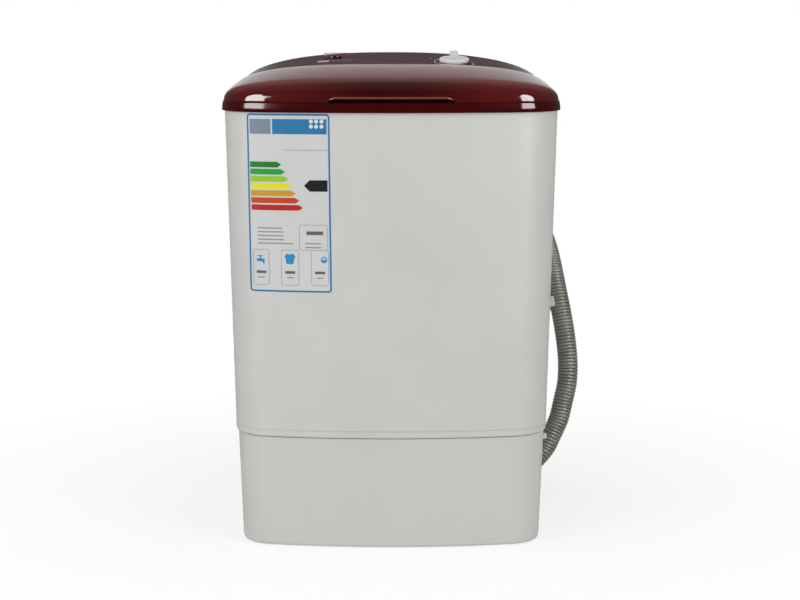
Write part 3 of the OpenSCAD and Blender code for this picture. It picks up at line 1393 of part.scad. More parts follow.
// Capacitor on the base's back wall, held by a strap
capacitor_x = 110;
capacitor_y = rim_d / 2 - 58;
capacitor_r = 16;
capacitor_h = 54;
module capacitor() {
    color([0.86, 0.86, 0.84])
    translate([capacitor_x, capacitor_y, base_floor_z + cover_t + 14]) {
        cylinder(r = capacitor_r, h = capacitor_h);
        translate([0, 0, capacitor_h]) cylinder(r1 = capacitor_r, r2 = capacitor_r - 1.5, h = 1.5);
        for (x = [-5, 5]) translate([x - 0.4, -3, capacitor_h - 4]) cube([0.8, 6, 12]);
    }
}
module capacitor_strap() {
    low = base_floor_z + cover_t + 34;
    reach = back_wall_y(low) - base_wall - capacitor_y - 0.8;
    color([0.70, 0.70, 0.71])
    translate([capacitor_x, capacitor_y, low]) {
        tube(capacitor_r + 1.4, capacitor_r + pin_gap, 14);
        translate([-6, capacitor_r + 0.9, 0]) cube([12, reach - capacitor_r - 0.9, 14]);
        translate([0, reach, 0]) translate([-11, -2, 0]) cube([22, 2, 14]);
    }
}

// Wiring from the timer down behind the tub to the motor
wiring_route = [for (p = [[60, 40, 554], [60, 36, 540], [60, 34, 480], [58, 34, 400], [52, 36, 300],
    [44, 38, 220], [30, 40, 175], [10, 44, 150], [4, 48, 120], [-8, 52, 104], [-19, 60, 100]])
    [p[0], rim_d / 2 - p[1], p[2]]];
wire_r = 3;
module wiring() {
    n = len(wiring_route);
    function heading(i) = unit(wiring_route[min(n - 1, i + 1)] - wiring_route[max(0, i - 1)]);
    rings = [for (i = [0 : n - 1])
        let (side = unit(cross(heading(i), [0, 1, 0])), up = cross(side, heading(i)))
        [for (k = [0 : 7]) wiring_route[i] + wire_r * (cos(45 * k) * side + sin(45 * k) * up)]];
    color([0.25, 0.25, 0.27]) loft(reversed(rings));
}

outer_casing();
base_casing();
bottom_cover();
feet();
service_cover();
service_screws();
cable_gland();
top_frame();
hinge_pins();
lid();
control_panel();
timer();
timer_shaft();
timer_knob();
switch_housing();
rocker();
inlet_spigot();
inlet_pipe();
wash_tub();
drain_strainer();
drain_pipe();
hose_clamp();
drain_hose();
hose_end();
hose_clip();
hose_rest();
hose_hook_right();
hose_hook_left();
pulsator();
pulsator_screw();
pulsator_shaft();
large_pulley();
bearing_housing();
housing_screws();
bearing_bushes();
water_seal();
drive_belt();
motor_pulley();
cooling_fan();
rotor();
stator();
motor_windings();
motor_upper_shield();
motor_lower_shield();
motor_bearings();
motor_bracket();
motor_mounts();
bracket_screws();
capacitor();
capacitor_strap();
wiring();
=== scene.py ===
import json
import math

import bmesh
import bpy
from mathutils import Matrix, Vector
from mathutils.bvhtree import BVHTree


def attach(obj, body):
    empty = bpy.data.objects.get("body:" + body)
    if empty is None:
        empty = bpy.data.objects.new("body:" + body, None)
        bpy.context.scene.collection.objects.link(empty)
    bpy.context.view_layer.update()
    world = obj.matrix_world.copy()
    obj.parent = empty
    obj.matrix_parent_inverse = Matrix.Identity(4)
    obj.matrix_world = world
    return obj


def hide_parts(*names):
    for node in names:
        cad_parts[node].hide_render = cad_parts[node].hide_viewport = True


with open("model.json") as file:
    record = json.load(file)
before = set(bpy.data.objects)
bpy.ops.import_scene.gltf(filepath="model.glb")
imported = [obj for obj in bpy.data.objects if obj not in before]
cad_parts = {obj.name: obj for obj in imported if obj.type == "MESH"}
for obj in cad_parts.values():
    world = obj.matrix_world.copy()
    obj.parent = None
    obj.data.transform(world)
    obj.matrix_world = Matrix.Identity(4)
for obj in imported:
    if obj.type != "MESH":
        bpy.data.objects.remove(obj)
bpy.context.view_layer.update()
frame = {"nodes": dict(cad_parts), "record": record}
nodes = frame["nodes"]
mm = 0.001
print("frame loaded:", len(nodes), "nodes")


# Camera

cameraSetup = {
    "place": (0.0, -2.431, 0.673), "tiltDown": 9.13, "lens": 85.9, "sensor": 36, "shiftX": 0.011,
    "clip": (0.1, 50),
}


def makeCamera():
    s = cameraSetup
    data = bpy.data.cameras.new("photoCamera")
    data.lens = s["lens"]
    data.sensor_width = s["sensor"]
    data.shift_x = s["shiftX"]
    data.clip_start, data.clip_end = s["clip"]
    camera = bpy.data.objects.new("photoCamera", data)
    camera.location = s["place"]
    camera.rotation_euler = (math.radians(90 - s["tiltDown"]), 0, 0)
    bpy.context.collection.objects.link(camera)
    bpy.context.scene.camera = camera
    bpy.context.scene.view_settings.view_transform = "Standard"


makeCamera()
print("camera set")


# Node tree helpers

# A socket is linked to the input, any other value is written on it
def setInputs(tree, node, inputs):
    for key, value in inputs.items():
        if isinstance(value, bpy.types.NodeSocket):
            tree.links.new(value, node.inputs[key])
        else:
            node.inputs[key].default_value = value


def addNode(tree, kind, inputs=None, **values):
    node = tree.nodes.new(kind)
    for key, value in values.items():
        setattr(node, key, value)
    setInputs(tree, node, inputs or {})
    return node


def newMaterial(name):
    material = bpy.data.materials.new(name)
    material.use_nodes = True
    tree = material.node_tree
    tree.nodes.clear()
    shader = addNode(tree, "ShaderNodeBsdfPrincipled")
    addNode(tree, "ShaderNodeOutputMaterial", {"Surface": shader.outputs["BSDF"]})
    place = addNode(tree, "ShaderNodeTexCoord").outputs["Object"]
    return material, tree, shader, place


def nodeOf(tree, kind):
    return next(node for node in tree.nodes if node.type == kind)


def noiseAt(tree, place, scale, detail=3.0, roughness=0.55):
    inputs = {"Vector": place, "Scale": scale, "Detail": detail, "Roughness": roughness}
    return addNode(tree, "ShaderNodeTexNoise", inputs).outputs["Fac"]


def ranged(tree, source, low, high, fromLow=0.35, fromHigh=0.65):
    inputs = {"Value": source, "From Min": fromLow, "From Max": fromHigh, "To Min": low, "To Max": high}
    return addNode(tree, "ShaderNodeMapRange", inputs).outputs["Result"]


def mathOf(tree, operation, *values):
    return addNode(tree, "ShaderNodeMath", dict(enumerate(values)), operation=operation).outputs[0]


def opaque(colour):
    return colour if isinstance(colour, bpy.types.NodeSocket) else (*colour, 1)


# The Mix node holds a set of sockets for each kind of data, told apart by their numbers
def blendColours(tree, factor, first, second):
    inputs = {0: factor, 6: opaque(first), 7: opaque(second)}
    return addNode(tree, "ShaderNodeMix", inputs, data_type="RGBA").outputs[2]


def mixValues(tree, factor, first, second):
    return addNode(tree, "ShaderNodeMix", {0: factor, 2: first, 3: second}, data_type="FLOAT").outputs[0]


def partsOf(tree, vector):
    return addNode(tree, "ShaderNodeSeparateXYZ", {0: vector}).outputs


def bumpOf(tree, height, strength, distance):
    inputs = {"Height": height, "Strength": strength, "Distance": distance}
    return addNode(tree, "ShaderNodeBump", inputs).outputs["Normal"]


def scaled(values, factor):
    return tuple(c * factor for c in values)


# Materials

# Moulded plastic: cloudy tint, fine grain in the mould, uneven polish
plasticSetup = {"cloudScale": 7, "sheenScale": 30, "bump": 0.35}


def mouldedPlastic(name, base, rough=0.35, spread=0.04, grain=900, grainDepth=0.00004, polish=0.06,
                   specular=0.5):
    s = plasticSetup
    material, tree, shader, place = newMaterial(name)
    paler = tuple(min(1, c) for c in scaled(base, 1 + spread))
    cloud = ranged(tree, noiseAt(tree, place, s["cloudScale"], 4), 0, 1)
    sheen = noiseAt(tree, place, s["sheenScale"], 5)
    setInputs(tree, shader, {
        "Base Color": blendColours(tree, cloud, scaled(base, 1 - spread), paler),
        "Roughness": ranged(tree, sheen, rough - polish, rough + polish),
        "Normal": bumpOf(tree, noiseAt(tree, place, grain, 2), s["bump"], grainDepth),
        "Specular IOR Level": specular,
    })
    return material


# Metal: fine streaks or casting grain with uneven sheen
metalSetup = {"wornScale": 60, "wornShade": 0.82, "smoother": 0.08, "rougher": 0.1, "bump": 0.4}


def metalFinish(name, base, rough=0.35, grain=1200, grainDepth=0.00003, stretch=(1, 1, 1)):
    s = metalSetup
    material, tree, shader, place = newMaterial(name)
    stretched = addNode(tree, "ShaderNodeMapping", {"Vector": place, "Scale": stretch}).outputs["Vector"]
    fine = noiseAt(tree, stretched, grain, 3, 0.5)
    worn = ranged(tree, noiseAt(tree, place, s["wornScale"], 4), 0, 1)
    setInputs(tree, shader, {
        "Base Color": blendColours(tree, worn, scaled(base, s["wornShade"]), base),
        "Roughness": ranged(tree, fine, rough - s["smoother"], rough + s["rougher"]),
        "Normal": bumpOf(tree, fine, s["bump"], grainDepth),
        "Metallic": 1,
    })
    return material


# Rubber: matt, with bloom and a little grit
rubberSetup = {
    "bloomScale": 45, "bloomGain": 1.7, "bloomLift": 0.01, "polish": 0.1, "grit": 2200, "gritDepth": 0.00006,
    "bump": 0.5,
}


def rubberFinish(name, base, rough=0.75):
    s = rubberSetup
    material, tree, shader, place = newMaterial(name)
    bloom = noiseAt(tree, place, s["bloomScale"], 6)
    greyer = tuple(min(1, c * s["bloomGain"] + s["bloomLift"]) for c in base)
    setInputs(tree, shader, {
        "Base Color": blendColours(tree, ranged(tree, bloom, 0, 1), base, greyer),
        "Roughness": ranged(tree, bloom, rough + s["polish"], rough - s["polish"]),
        "Normal": bumpOf(tree, noiseAt(tree, place, s["grit"], 3), s["bump"], s["gritDepth"]),
    })
    return material


# See-through dark red moulding, deep gloss
clearSetup = {
    "cloudScale": 9, "cloudShade": 0.86, "sheenScale": 24, "smoother": 0.02, "rougher": 0.03,
    "rippleScale": 38, "rippleDepth": 0.0004, "bump": 0.05,
}


def seeThroughRed(name, base, clear, rough, specular=0.5, bend=1.49):
    s = clearSetup
    material, tree, shader, place = newMaterial(name)
    cloud = ranged(tree, noiseAt(tree, place, s["cloudScale"], 3), 0, 1)
    sheen = noiseAt(tree, place, s["sheenScale"], 5)
    setInputs(tree, shader, {
        "Base Color": blendColours(tree, cloud, scaled(base, s["cloudShade"]), base),
        "Roughness": ranged(tree, sheen, rough - s["smoother"], rough + s["rougher"]),
        "Normal": bumpOf(tree, noiseAt(tree, place, s["rippleScale"], 2), s["bump"], s["rippleDepth"]),
        "Transmission Weight": clear,
        "IOR": bend,
        "Specular IOR Level": specular,
    })
    return material


# Lid: painted light on top, a paler red where the white tub would show through, and painted shade in the
# middle of its front, near the pocket
lidShades = {
    "front": (0.120, 0.011, 0.011), "top": (0.270, 0.032, 0.028), "clear": 0.30, "rough": 0.06,
    "middleShade": 0.42, "middleHalf": 0.03, "middleEnd": 0.12,
    "paleFromY": -0.165, "paleToY": -0.145, "paleFromZ": 0.555, "paleToZ": 0.567,
}


def lidFinish(name):
    s = lidShades
    material = seeThroughRed(name, s["front"], s["clear"], s["rough"])
    tree = material.node_tree
    shader = nodeOf(tree, "BSDF_PRINCIPLED")
    tone = shader.inputs["Base Color"].links[0].from_socket
    parts = partsOf(tree, nodeOf(tree, "TEX_COORD").outputs["Object"])
    # Painted shade: the middle of the lid's front is darkened
    sideways = mathOf(tree, "ABSOLUTE", parts["X"])
    shade = ranged(tree, sideways, s["middleShade"], 1, s["middleHalf"], s["middleEnd"])
    front = addNode(tree, "ShaderNodeVectorMath", {0: tone, "Scale": shade}, operation="SCALE").outputs[0]
    # Painted light: the top of the lid is blended to the paler red
    inward = ranged(tree, parts["Y"], 0, 1, s["paleFromY"], s["paleToY"])
    raised = ranged(tree, parts["Z"], 0, 1, s["paleFromZ"], s["paleToZ"])
    litTopMask = mathOf(tree, "MULTIPLY", inward, raised)
    setInputs(tree, shader, {"Base Color": blendColours(tree, litTopMask, front, s["top"])})
    return material


# Hose: soft grey plastic with painted shade in its grooves and a painted highlight on its crests, by the
# ribHeight written on its mesh
hoseTones = {
    "groove": (0.034, 0.034, 0.028), "crestHighlight": (0.155, 0.158, 0.128), "dusty": (0.215, 0.220, 0.185),
    "grooveTo": 0.1, "crestFrom": 0.75, "dustScale": 70, "smoothest": 0.4, "roughest": 0.52,
    "grain": 1600, "grainDepth": 0.00004, "bump": 0.3,
}


def hoseFinish(name):
    s = hoseTones
    material, tree, shader, place = newMaterial(name)
    rib = addNode(tree, "ShaderNodeAttribute", attribute_name="ribHeight").outputs["Fac"]
    dust = noiseAt(tree, place, s["dustScale"], 5)
    crestHighlight = blendColours(tree, ranged(tree, dust, 0, 1), s["crestHighlight"], s["dusty"])
    # Painted shade in the grooves, painted highlight on the crests
    raised = ranged(tree, rib, 0, 1, s["grooveTo"], s["crestFrom"])
    setInputs(tree, shader, {
        "Base Color": blendColours(tree, raised, s["groove"], crestHighlight),
        "Roughness": ranged(tree, dust, s["smoothest"], s["roughest"]),
        "Normal": bumpOf(tree, noiseAt(tree, place, s["grain"], 2), s["bump"], s["grainDepth"]),
    })
    return material


shellGrain = {"rough": 0.44, "spread": 0.012, "grain": 1400, "grainDepth": 0.00005, "specular": 0.38}
darkGloss = {"spread": 0.06, "polish": 0.03, "grain": 500, "grainDepth": 0.00001, "specular": 0.36}
plastics = {
    "cabinetWhite": {"base": (0.548, 0.555, 0.527), **shellGrain},
    "baseWhite": {"base": (0.545, 0.552, 0.524), **shellGrain},
    "rimMaroon": {"base": (0.044, 0.0016, 0.0028), "rough": 0.10, **darkGloss},
    "panelPlum": {"base": (0.078, 0.024, 0.034), "rough": 0.16, **darkGloss},
    # Painted shade: the pocket behind the finger slot is near black
    "pocketShade": {"base": (0.030, 0.0008, 0.0008), "rough": 0.4, "spread": 0.1, "specular": 0.1},
    "knobWhite": {"base": (0.78, 0.78, 0.77), "rough": 0.3, "spread": 0.02},
    "clipWhite": {"base": (0.70, 0.70, 0.68), "rough": 0.4, "spread": 0.03},
    "greyPlastic": {"base": (0.42, 0.42, 0.41), "rough": 0.4, "spread": 0.05},
    "ivoryPlastic": {"base": (0.72, 0.69, 0.60), "rough": 0.45},
    "tubWhite": {"base": (0.74, 0.74, 0.72), "rough": 0.22, "spread": 0.015, "polish": 0.05},
    "blackPlastic": {"base": (0.02, 0.02, 0.021), "rough": 0.4, "spread": 0.2},
    "darkPlastic": {"base": (0.05, 0.05, 0.05), "rough": 0.6, "spread": 0.15},
    "fanPlastic": {"base": (0.04, 0.05, 0.07), "rough": 0.4, "spread": 0.1},
    "capacitorWhite": {"base": (0.72, 0.72, 0.70), "spread": 0.03},
    "sleeveGrey": {"base": (0.05, 0.05, 0.055), "rough": 0.5, "spread": 0.15},
}
metals = {
    "screwSteel": {"base": (0.55, 0.55, 0.56), "rough": 0.32},
    "castAluminium": {"base": (0.60, 0.60, 0.61), "rough": 0.48, "grain": 700, "grainDepth": 0.00012},
    "bronzeSinter": {"base": (0.52, 0.33, 0.14), "rough": 0.5, "grain": 1500, "grainDepth": 0.00008},
    "zincSheet": {"base": (0.58, 0.59, 0.61), "rough": 0.38, "grain": 60, "grainDepth": 0.00002},
    "coreSteel": {"base": (0.20, 0.21, 0.23), "rough": 0.42, "grain": 500, "grainDepth": 0.00012,
                  "stretch": (0.05, 0.05, 4)},
    "copperWire": {"base": (0.50, 0.20, 0.07), "rough": 0.3, "grain": 900, "grainDepth": 0.0002,
                   "stretch": (1, 1, 0.2)},
}
rubbers = {
    "rubberBlack": {"base": (0.014, 0.014, 0.014)},
    "beltRubber": {"base": (0.018, 0.018, 0.019), "rough": 0.82},
    "cuffRubber": {"base": (0.05, 0.05, 0.048), "rough": 0.6},
}
clearReds = {
    # The lip's wine is a paler copy of the lid's: painted highlight on the lip's lit face
    "lipWine": {"base": (0.230, 0.045, 0.028), "clear": 0.10, "rough": 0.12},
    "rockerRed": {"base": (0.042, 0.0018, 0.005), "clear": 0.05, "rough": 0.35, "specular": 0.05,
                  "bend": 1.08},
}
looks = {"lidWine": lidFinish("lidWine"), "hoseGrey": hoseFinish("hoseGrey")}
families = (
    (mouldedPlastic, plastics), (metalFinish, metals), (rubberFinish, rubbers), (seeThroughRed, clearReds),
)
for make, family in families:
    for lookName, values in family.items():
        looks[lookName] = make(lookName, **values)
print("materials made:", len(looks))


# Shapes to objects

sharpLimit = math.radians(32)


# Edges that turn more than the limit stay sharp
def markSharp(shape):
    for edge in shape.edges:
        edge.smooth = len(edge.link_faces) == 2 and edge.calc_face_angle(0) < sharpLimit


def toObject(shape, name, finish):
    for face in shape.faces:
        face.smooth = True
    mesh = bpy.data.meshes.new(name)
    shape.to_mesh(mesh)
    shape.free()
    mesh.materials.append(finish)
    obj = bpy.data.objects.new(name, mesh)
    bpy.context.collection.objects.link(obj)
    return obj


def finishShape(shape, name, look):
    bmesh.ops.recalc_face_normals(shape, faces=shape.faces)
    markSharp(shape)
    return toObject(shape, name, looks[look])


# Drain hose

hoseSetup = {
    "diameter": 27.0, "grooveDepth": 1.3, "boreRadius": 10.6, "boreStep": 8.0, "ribPitch": 4.3,
    "crestPower": 0.35, "stepsPerRib": 8, "sides": 32, "lineSteps": 10, "endReach": 30.0,
    "outletStart": (164.0, 64.0, 33.0), "outletRise": 37.5, "outletStep": 16.4,
    "wallHoleFrom": 10, "wallHoleTo": 45,
}

rise = math.radians(hoseSetup["outletRise"])
outletStart = Vector(hoseSetup["outletStart"])
outletHeading = Vector((math.cos(rise), 0, math.sin(rise)))
hoseRoute = [tuple(outletStart + outletHeading * hoseSetup["outletStep"] * k) for k in range(3)]
hoseRoute += [
    (195, 64, 58), (202, 64, 66), (208, 64, 75), (214, 64, 88), (220, 65, 101), (225, 66, 114),
    (230, 68, 136), (235, 71, 160), (236, 76, 188), (233, 84, 220), (228, 96, 252), (222, 112, 284),
    (218, 132, 308), (214, 151, 328), (207, 171, 348), (191, 188, 368), (168, 195, 387), (140, 197, 405),
    (100, 197, 429), (60, 197, 452), (20, 197, 473), (-20, 198, 493), (-60, 199, 511), (-100, 201, 527),
    (-114, 202, 533), (-128, 202, 539),
]


# The same smooth line through the route's points as in the solid
def routeLine(points, steps):
    line = []
    last = len(points) - 1
    for i in range(last):
        a, b, c, d = (Vector(points[max(0, min(last, k))]) for k in (i - 1, i, i + 1, i + 2))
        for k in range(steps):
            t = k / steps
            bend = t * t * (2 * a - 5 * b + 4 * c - d) + t ** 3 * (3 * b - a - 3 * c + d)
            line.append(b + t * (c - a) / 2 + bend / 2)
    line.append(Vector(points[last]))
    return [p * mm for p in line]


hoseLine = routeLine(hoseRoute, hoseSetup["lineSteps"])
hoseLength = sum((after - before).length for before, after in zip(hoseLine, hoseLine[1:]))


# Geometry Nodes tree: sweeps a round profile along a curve and swells it into ribs
def ribbedTubeTree():
    tree = bpy.data.node_groups.new("ribbedTube", "GeometryNodeTree")
    kinds = {"Curve": "Geometry", "Crest Radius": "Float", "Groove Depth": "Float", "Rib Pitch": "Float",
             "Step": "Float", "Sides": "Int", "Finish": "Material"}
    sockets = {}
    for label, kind in kinds.items():
        made = tree.interface.new_socket(name=label, in_out="INPUT", socket_type="NodeSocket" + kind)
        sockets[label] = made.identifier
    tree.interface.new_socket(name="Geometry", in_out="OUTPUT", socket_type="NodeSocketGeometry")
    into = addNode(tree, "NodeGroupInput").outputs
    along = addNode(tree, "GeometryNodeSplineParameter").outputs["Length"]
    turn = mathOf(tree, "MULTIPLY", mathOf(tree, "DIVIDE", along, into["Rib Pitch"]), 2 * math.pi)
    share = ranged(tree, mathOf(tree, "COSINE", turn), 0, 1, -1, 1)         # 0 in a groove, 1 on a crest
    height = mathOf(tree, "POWER", share, hoseSetup["crestPower"])
    inputs = {"Curve": into["Curve"], "Length": into["Step"]}
    line = addNode(tree, "GeometryNodeResampleCurve", inputs, mode="LENGTH").outputs["Curve"]
    inputs = {"Geometry": line, "Name": "ribHeight", "Value": height}
    keep = addNode(tree, "GeometryNodeStoreNamedAttribute", inputs, data_type="FLOAT", domain="POINT")
    lowest = mathOf(tree, "SUBTRACT", into["Crest Radius"], into["Groove Depth"])
    radius = mathOf(tree, "MULTIPLY_ADD", height, into["Groove Depth"], lowest)
    ring = addNode(tree, "GeometryNodeCurvePrimitiveCircle", {"Resolution": into["Sides"], "Radius": 1})
    inputs = {"Curve": keep.outputs["Geometry"], "Profile Curve": ring.outputs["Curve"], "Scale": radius}
    sweep = addNode(tree, "GeometryNodeCurveToMesh", inputs)
    solid = addNode(tree, "GeometryNodeRealizeInstances", {"Geometry": sweep.outputs["Mesh"]})
    inputs = {"Geometry": solid.outputs["Geometry"], "Material": into["Finish"]}
    paint = addNode(tree, "GeometryNodeSetMaterial", inputs)
    addNode(tree, "NodeGroupOutput", {"Geometry": paint.outputs["Geometry"]})
    return tree, sockets


tubeTree, tubeSockets = ribbedTubeTree()


def curveObject(name, points):
    data = bpy.data.curves.new(name, "CURVE")
    data.dimensions = "3D"
    spline = data.splines.new("POLY")
    spline.points.add(len(points) - 1)
    for point, place in zip(spline.points, points):
        point.co = (*place, 1)
    obj = bpy.data.objects.new(name, data)
    bpy.context.collection.objects.link(obj)
    return obj


def sweptMesh(radius, depth, pitch, step):
    guide = curveObject("hoseGuide", hoseLine)
    modifier = guide.modifiers.new("ribs", "NODES")
    modifier.node_group = tubeTree
    values = {"Crest Radius": radius * mm, "Groove Depth": depth * mm, "Rib Pitch": pitch, "Step": step,
              "Sides": hoseSetup["sides"], "Finish": looks["hoseGrey"]}
    for label, value in values.items():
        modifier[tubeSockets[label]] = value
    evaluated = guide.evaluated_get(bpy.context.evaluated_depsgraph_get())
    mesh = bpy.data.meshes.new_from_object(evaluated)
    bpy.data.objects.remove(guide)
    return mesh


# Outer skin with its ribs and a plain bore, joined at both ends into one closed wall
def makeHose():
    s = hoseSetup
    pitch = hoseLength / round(hoseLength / (s["ribPitch"] * mm))
    shape = bmesh.new()
    shape.from_mesh(sweptMesh(s["diameter"] / 2, s["grooveDepth"], pitch, pitch / s["stepsPerRib"]))
    first = len(shape.verts)
    shape.from_mesh(sweptMesh(s["boreRadius"], 0, pitch, s["boreStep"] * mm))
    shape.verts.ensure_lookup_table()
    bore = set(shape.verts[first:])
    bmesh.ops.reverse_faces(shape, faces=[f for f in shape.faces if all(v in bore for v in f.verts)])
    loops = [e for e in shape.edges if e.is_boundary]
    reach = s["endReach"] * mm
    for end in (hoseLine[0], hoseLine[-1]):
        bmesh.ops.bridge_loops(shape, edges=[e for e in loops if (e.verts[0].co - end).length < reach])
    bmesh.ops.recalc_face_normals(shape, faces=shape.faces)
    return toObject(shape, "drainHose", looks["hoseGrey"])


hose = makeHose()
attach(hose, "cabinet")
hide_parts("drain_hose")
print("hose made:", round(hoseLength, 4), "m,", len(hose.data.polygons), "faces")


# Fine skins of the big mouldings

cabinetSetup = {
    "rimWidth": 410.0, "rimDepth": 372.0, "bulgeRadius": 853.0, "frontCorner": 64.0, "backCorner": 40.0,
    "rimZ": 534.0, "bandHeight": 11.5, "overhang": 3.5, "seamZ": 139.5, "draft": 9.5, "wall": 3.0,
    "topRise": 2.0, "ledge": 9.0, "ledgeThick": 3.0, "lipHeight": 8.0, "lipRound": 1.8, "lipSteps": 8,
    "grooveHeight": 0.6, "grooveDepth": 0.8, "grooveSteps": 6,
    "frontSteps": 72, "cornerSteps": 26, "backSteps": 18, "crossSteps": 40, "crossReach": 0.99,
}
baseSetup = {
    "step": 2.5, "draft": 5.0, "wall": 3.2, "edgeZ": 1.2, "curl": 2.6, "curlHeight": 5.0, "curlSteps": 8,
    "spigot": 13.0, "seamGap": 1.0, "seamDepth": 2.0, "gap": 0.4, "spigotWall": 2.5, "shoulderDrop": 6.0,
    "floorThick": 3.5, "floorLip": 3.0, "serviceHole": (-75, 43, 75, 113), "glandHole": (130, 92, 5.7),
    "cutIn": 40.0, "cutOut": 10.0,
}
halfWidth = cabinetSetup["rimWidth"] / 2
halfDepth = cabinetSetup["rimDepth"] / 2
lidLine = cabinetSetup["rimZ"] + cabinetSetup["bandHeight"]


def turnsOf(degrees, steps):
    return [math.radians(degrees * i / steps) for i in range(steps + 1)]


def arcPoints(cx, cy, r, fromDeg, toDeg, steps):
    angles = [math.radians(fromDeg + (toDeg - fromDeg) * i / steps) for i in range(steps + 1)]
    return [(cx + r * math.cos(a), cy + r * math.sin(a)) for a in angles]


def rectangle(x0, y0, x1, y1):
    return [(x0, y0), (x1, y0), (x1, y1), (x0, y1)]


def lifted(outline, z):
    return [(x, y, z) for x, y in outline]


# Middle of the front corner's circle and the swing of the bulge, for a plan of half sizes w and d
def cornerOf(w, d, bulge, front):
    bulgeY = bulge - d
    cornerY = bulgeY - math.sqrt((bulge - front) ** 2 - (w - front) ** 2)
    return bulgeY, cornerY, math.degrees(math.atan2(w - front, bulgeY - cornerY))


# Bulged front with its two corners, closed by the points of a back edge
def planOutline(w, d, bulge, front, backEdge):
    c = cabinetSetup
    bulgeY, cornerY, swing = cornerOf(w, d, bulge, front)
    points = arcPoints(0, bulgeY, bulge, -90 - swing, -90 + swing, c["frontSteps"])
    points += arcPoints(w - front, cornerY, front, -90 + swing, 0, c["cornerSteps"])[1:]
    points += backEdge
    return points + arcPoints(front - w, cornerY, front, 180, 270 - swing, c["cornerSteps"])[:-1]


def roundBack(w, d, radius):
    steps = cabinetSetup["backSteps"]
    right = arcPoints(w - radius, d - radius, radius, 0, 90, steps)
    return right + arcPoints(radius - w, d - radius, radius, 90, 180, steps)


def planSizes(inset):
    c = cabinetSetup
    return halfWidth - inset, halfDepth - inset, c["bulgeRadius"] - inset, c["frontCorner"] - inset


def bodyRing(inset, z):
    w, d, bulge, front = planSizes(inset)
    back = roundBack(w, d, cabinetSetup["backCorner"] - inset)
    return lifted(planOutline(w, d, bulge, front, back), z)


def casingInset(z):
    c = cabinetSetup
    return c["overhang"] + c["draft"] * (c["rimZ"] - z) / (c["rimZ"] - c["seamZ"])


def baseInset(z):
    b, seam = baseSetup, cabinetSetup["seamZ"]
    return casingInset(seam) + b["step"] + b["draft"] * (seam - z) / seam


# Adds rings of points to a shape as a skin
# Closed joins the last ring to the first; otherwise each end ring is closed to a point
def addRings(shape, rings, closed):
    made = [[shape.verts.new([c * mm for c in p]) for p in ring] for ring in rings]
    count = len(rings[0])
    spans = len(made) if closed else len(made) - 1
    for i in range(spans):
        low, high = made[i], made[(i + 1) % len(made)]
        for j in range(count):
            k = (j + 1) % count
            shape.faces.new((low[j], low[k], high[k], high[j]))
    if not closed:
        for ring, flip in ((made[0], True), (made[-1], False)):
            tip = shape.verts.new(sum((v.co for v in ring), Vector()) / count)
            for j in range(count):
                k = (j + 1) % count
                shape.faces.new((ring[k], ring[j], tip) if flip else (ring[j], ring[k], tip))


def ringShape(rings, closed):
    shape = bmesh.new()
    addRings(shape, rings, closed)
    return shape


def addBlock(shape, low, high):
    made = bmesh.ops.create_cube(shape, size=1)["verts"]
    for vert in made:
        for axis in range(3):
            vert.co[axis] = (low[axis] if vert.co[axis] < 0 else high[axis]) * mm


# Round bar between two points, with its rims slightly broken
def addBar(shape, start, end, radius, sides=40, edge=0.4):
    a, b = Vector(start), Vector(end)
    heading = (b - a).normalized()
    side = heading.orthogonal().normalized()
    up = heading.cross(side)
    turns = turnsOf(360, sides)[:-1]
    inset, narrow = heading * edge, radius - edge
    rings = []
    for middle, r in ((a, narrow), (a + inset, radius), (b - inset, radius), (b, narrow)):
        rings.append([middle + r * (math.cos(t) * side + math.sin(t) * up) for t in turns])
    addRings(shape, rings, False)


# Cuts one closed shape from another and keeps the result as a plain mesh
def cutFrom(obj, cutter):
    modifier = obj.modifiers.new("cut", "BOOLEAN")
    modifier.operation = "DIFFERENCE"
    modifier.solver = "EXACT"
    modifier.object = cutter
    evaluated = obj.evaluated_get(bpy.context.evaluated_depsgraph_get())
    cutMesh = bpy.data.meshes.new_from_object(evaluated)
    obj.modifiers.clear()
    shape = bmesh.new()
    shape.from_mesh(cutMesh)
    markSharp(shape)
    shape.to_mesh(cutMesh)
    shape.free()
    obj.data = cutMesh
    bpy.data.objects.remove(cutter)
    return obj


def makeCasing():
    c = cabinetSetup
    seam, top = c["seamZ"], c["rimZ"] + c["topRise"]
    rings = []
    for a in turnsOf(90, c["lipSteps"]):        # rounded lower lip
        z = seam + 2 * c["lipRound"] * (1 - math.cos(a))
        rings.append(bodyRing(casingInset(z) + c["lipRound"] * (1 - math.sin(a)), z))
    for a in turnsOf(180, c["grooveSteps"]):    # fine groove above the lip
        z = seam + c["lipHeight"] + c["grooveHeight"] * (1 - math.cos(a))
        rings.append(bodyRing(casingInset(z) + c["grooveDepth"] * math.sin(a), z))
    inner = casingInset(top) + c["wall"]
    under = top - c["ledgeThick"]
    rest = [(casingInset(top), top), (inner + c["ledge"], top), (inner + c["ledge"], under), (inner, under),
            (casingInset(seam) + c["wall"], seam)]
    rings += [bodyRing(inset, z) for inset, z in rest]
    return finishShape(ringShape(rings, True), "casingSkin", "cabinetWhite")


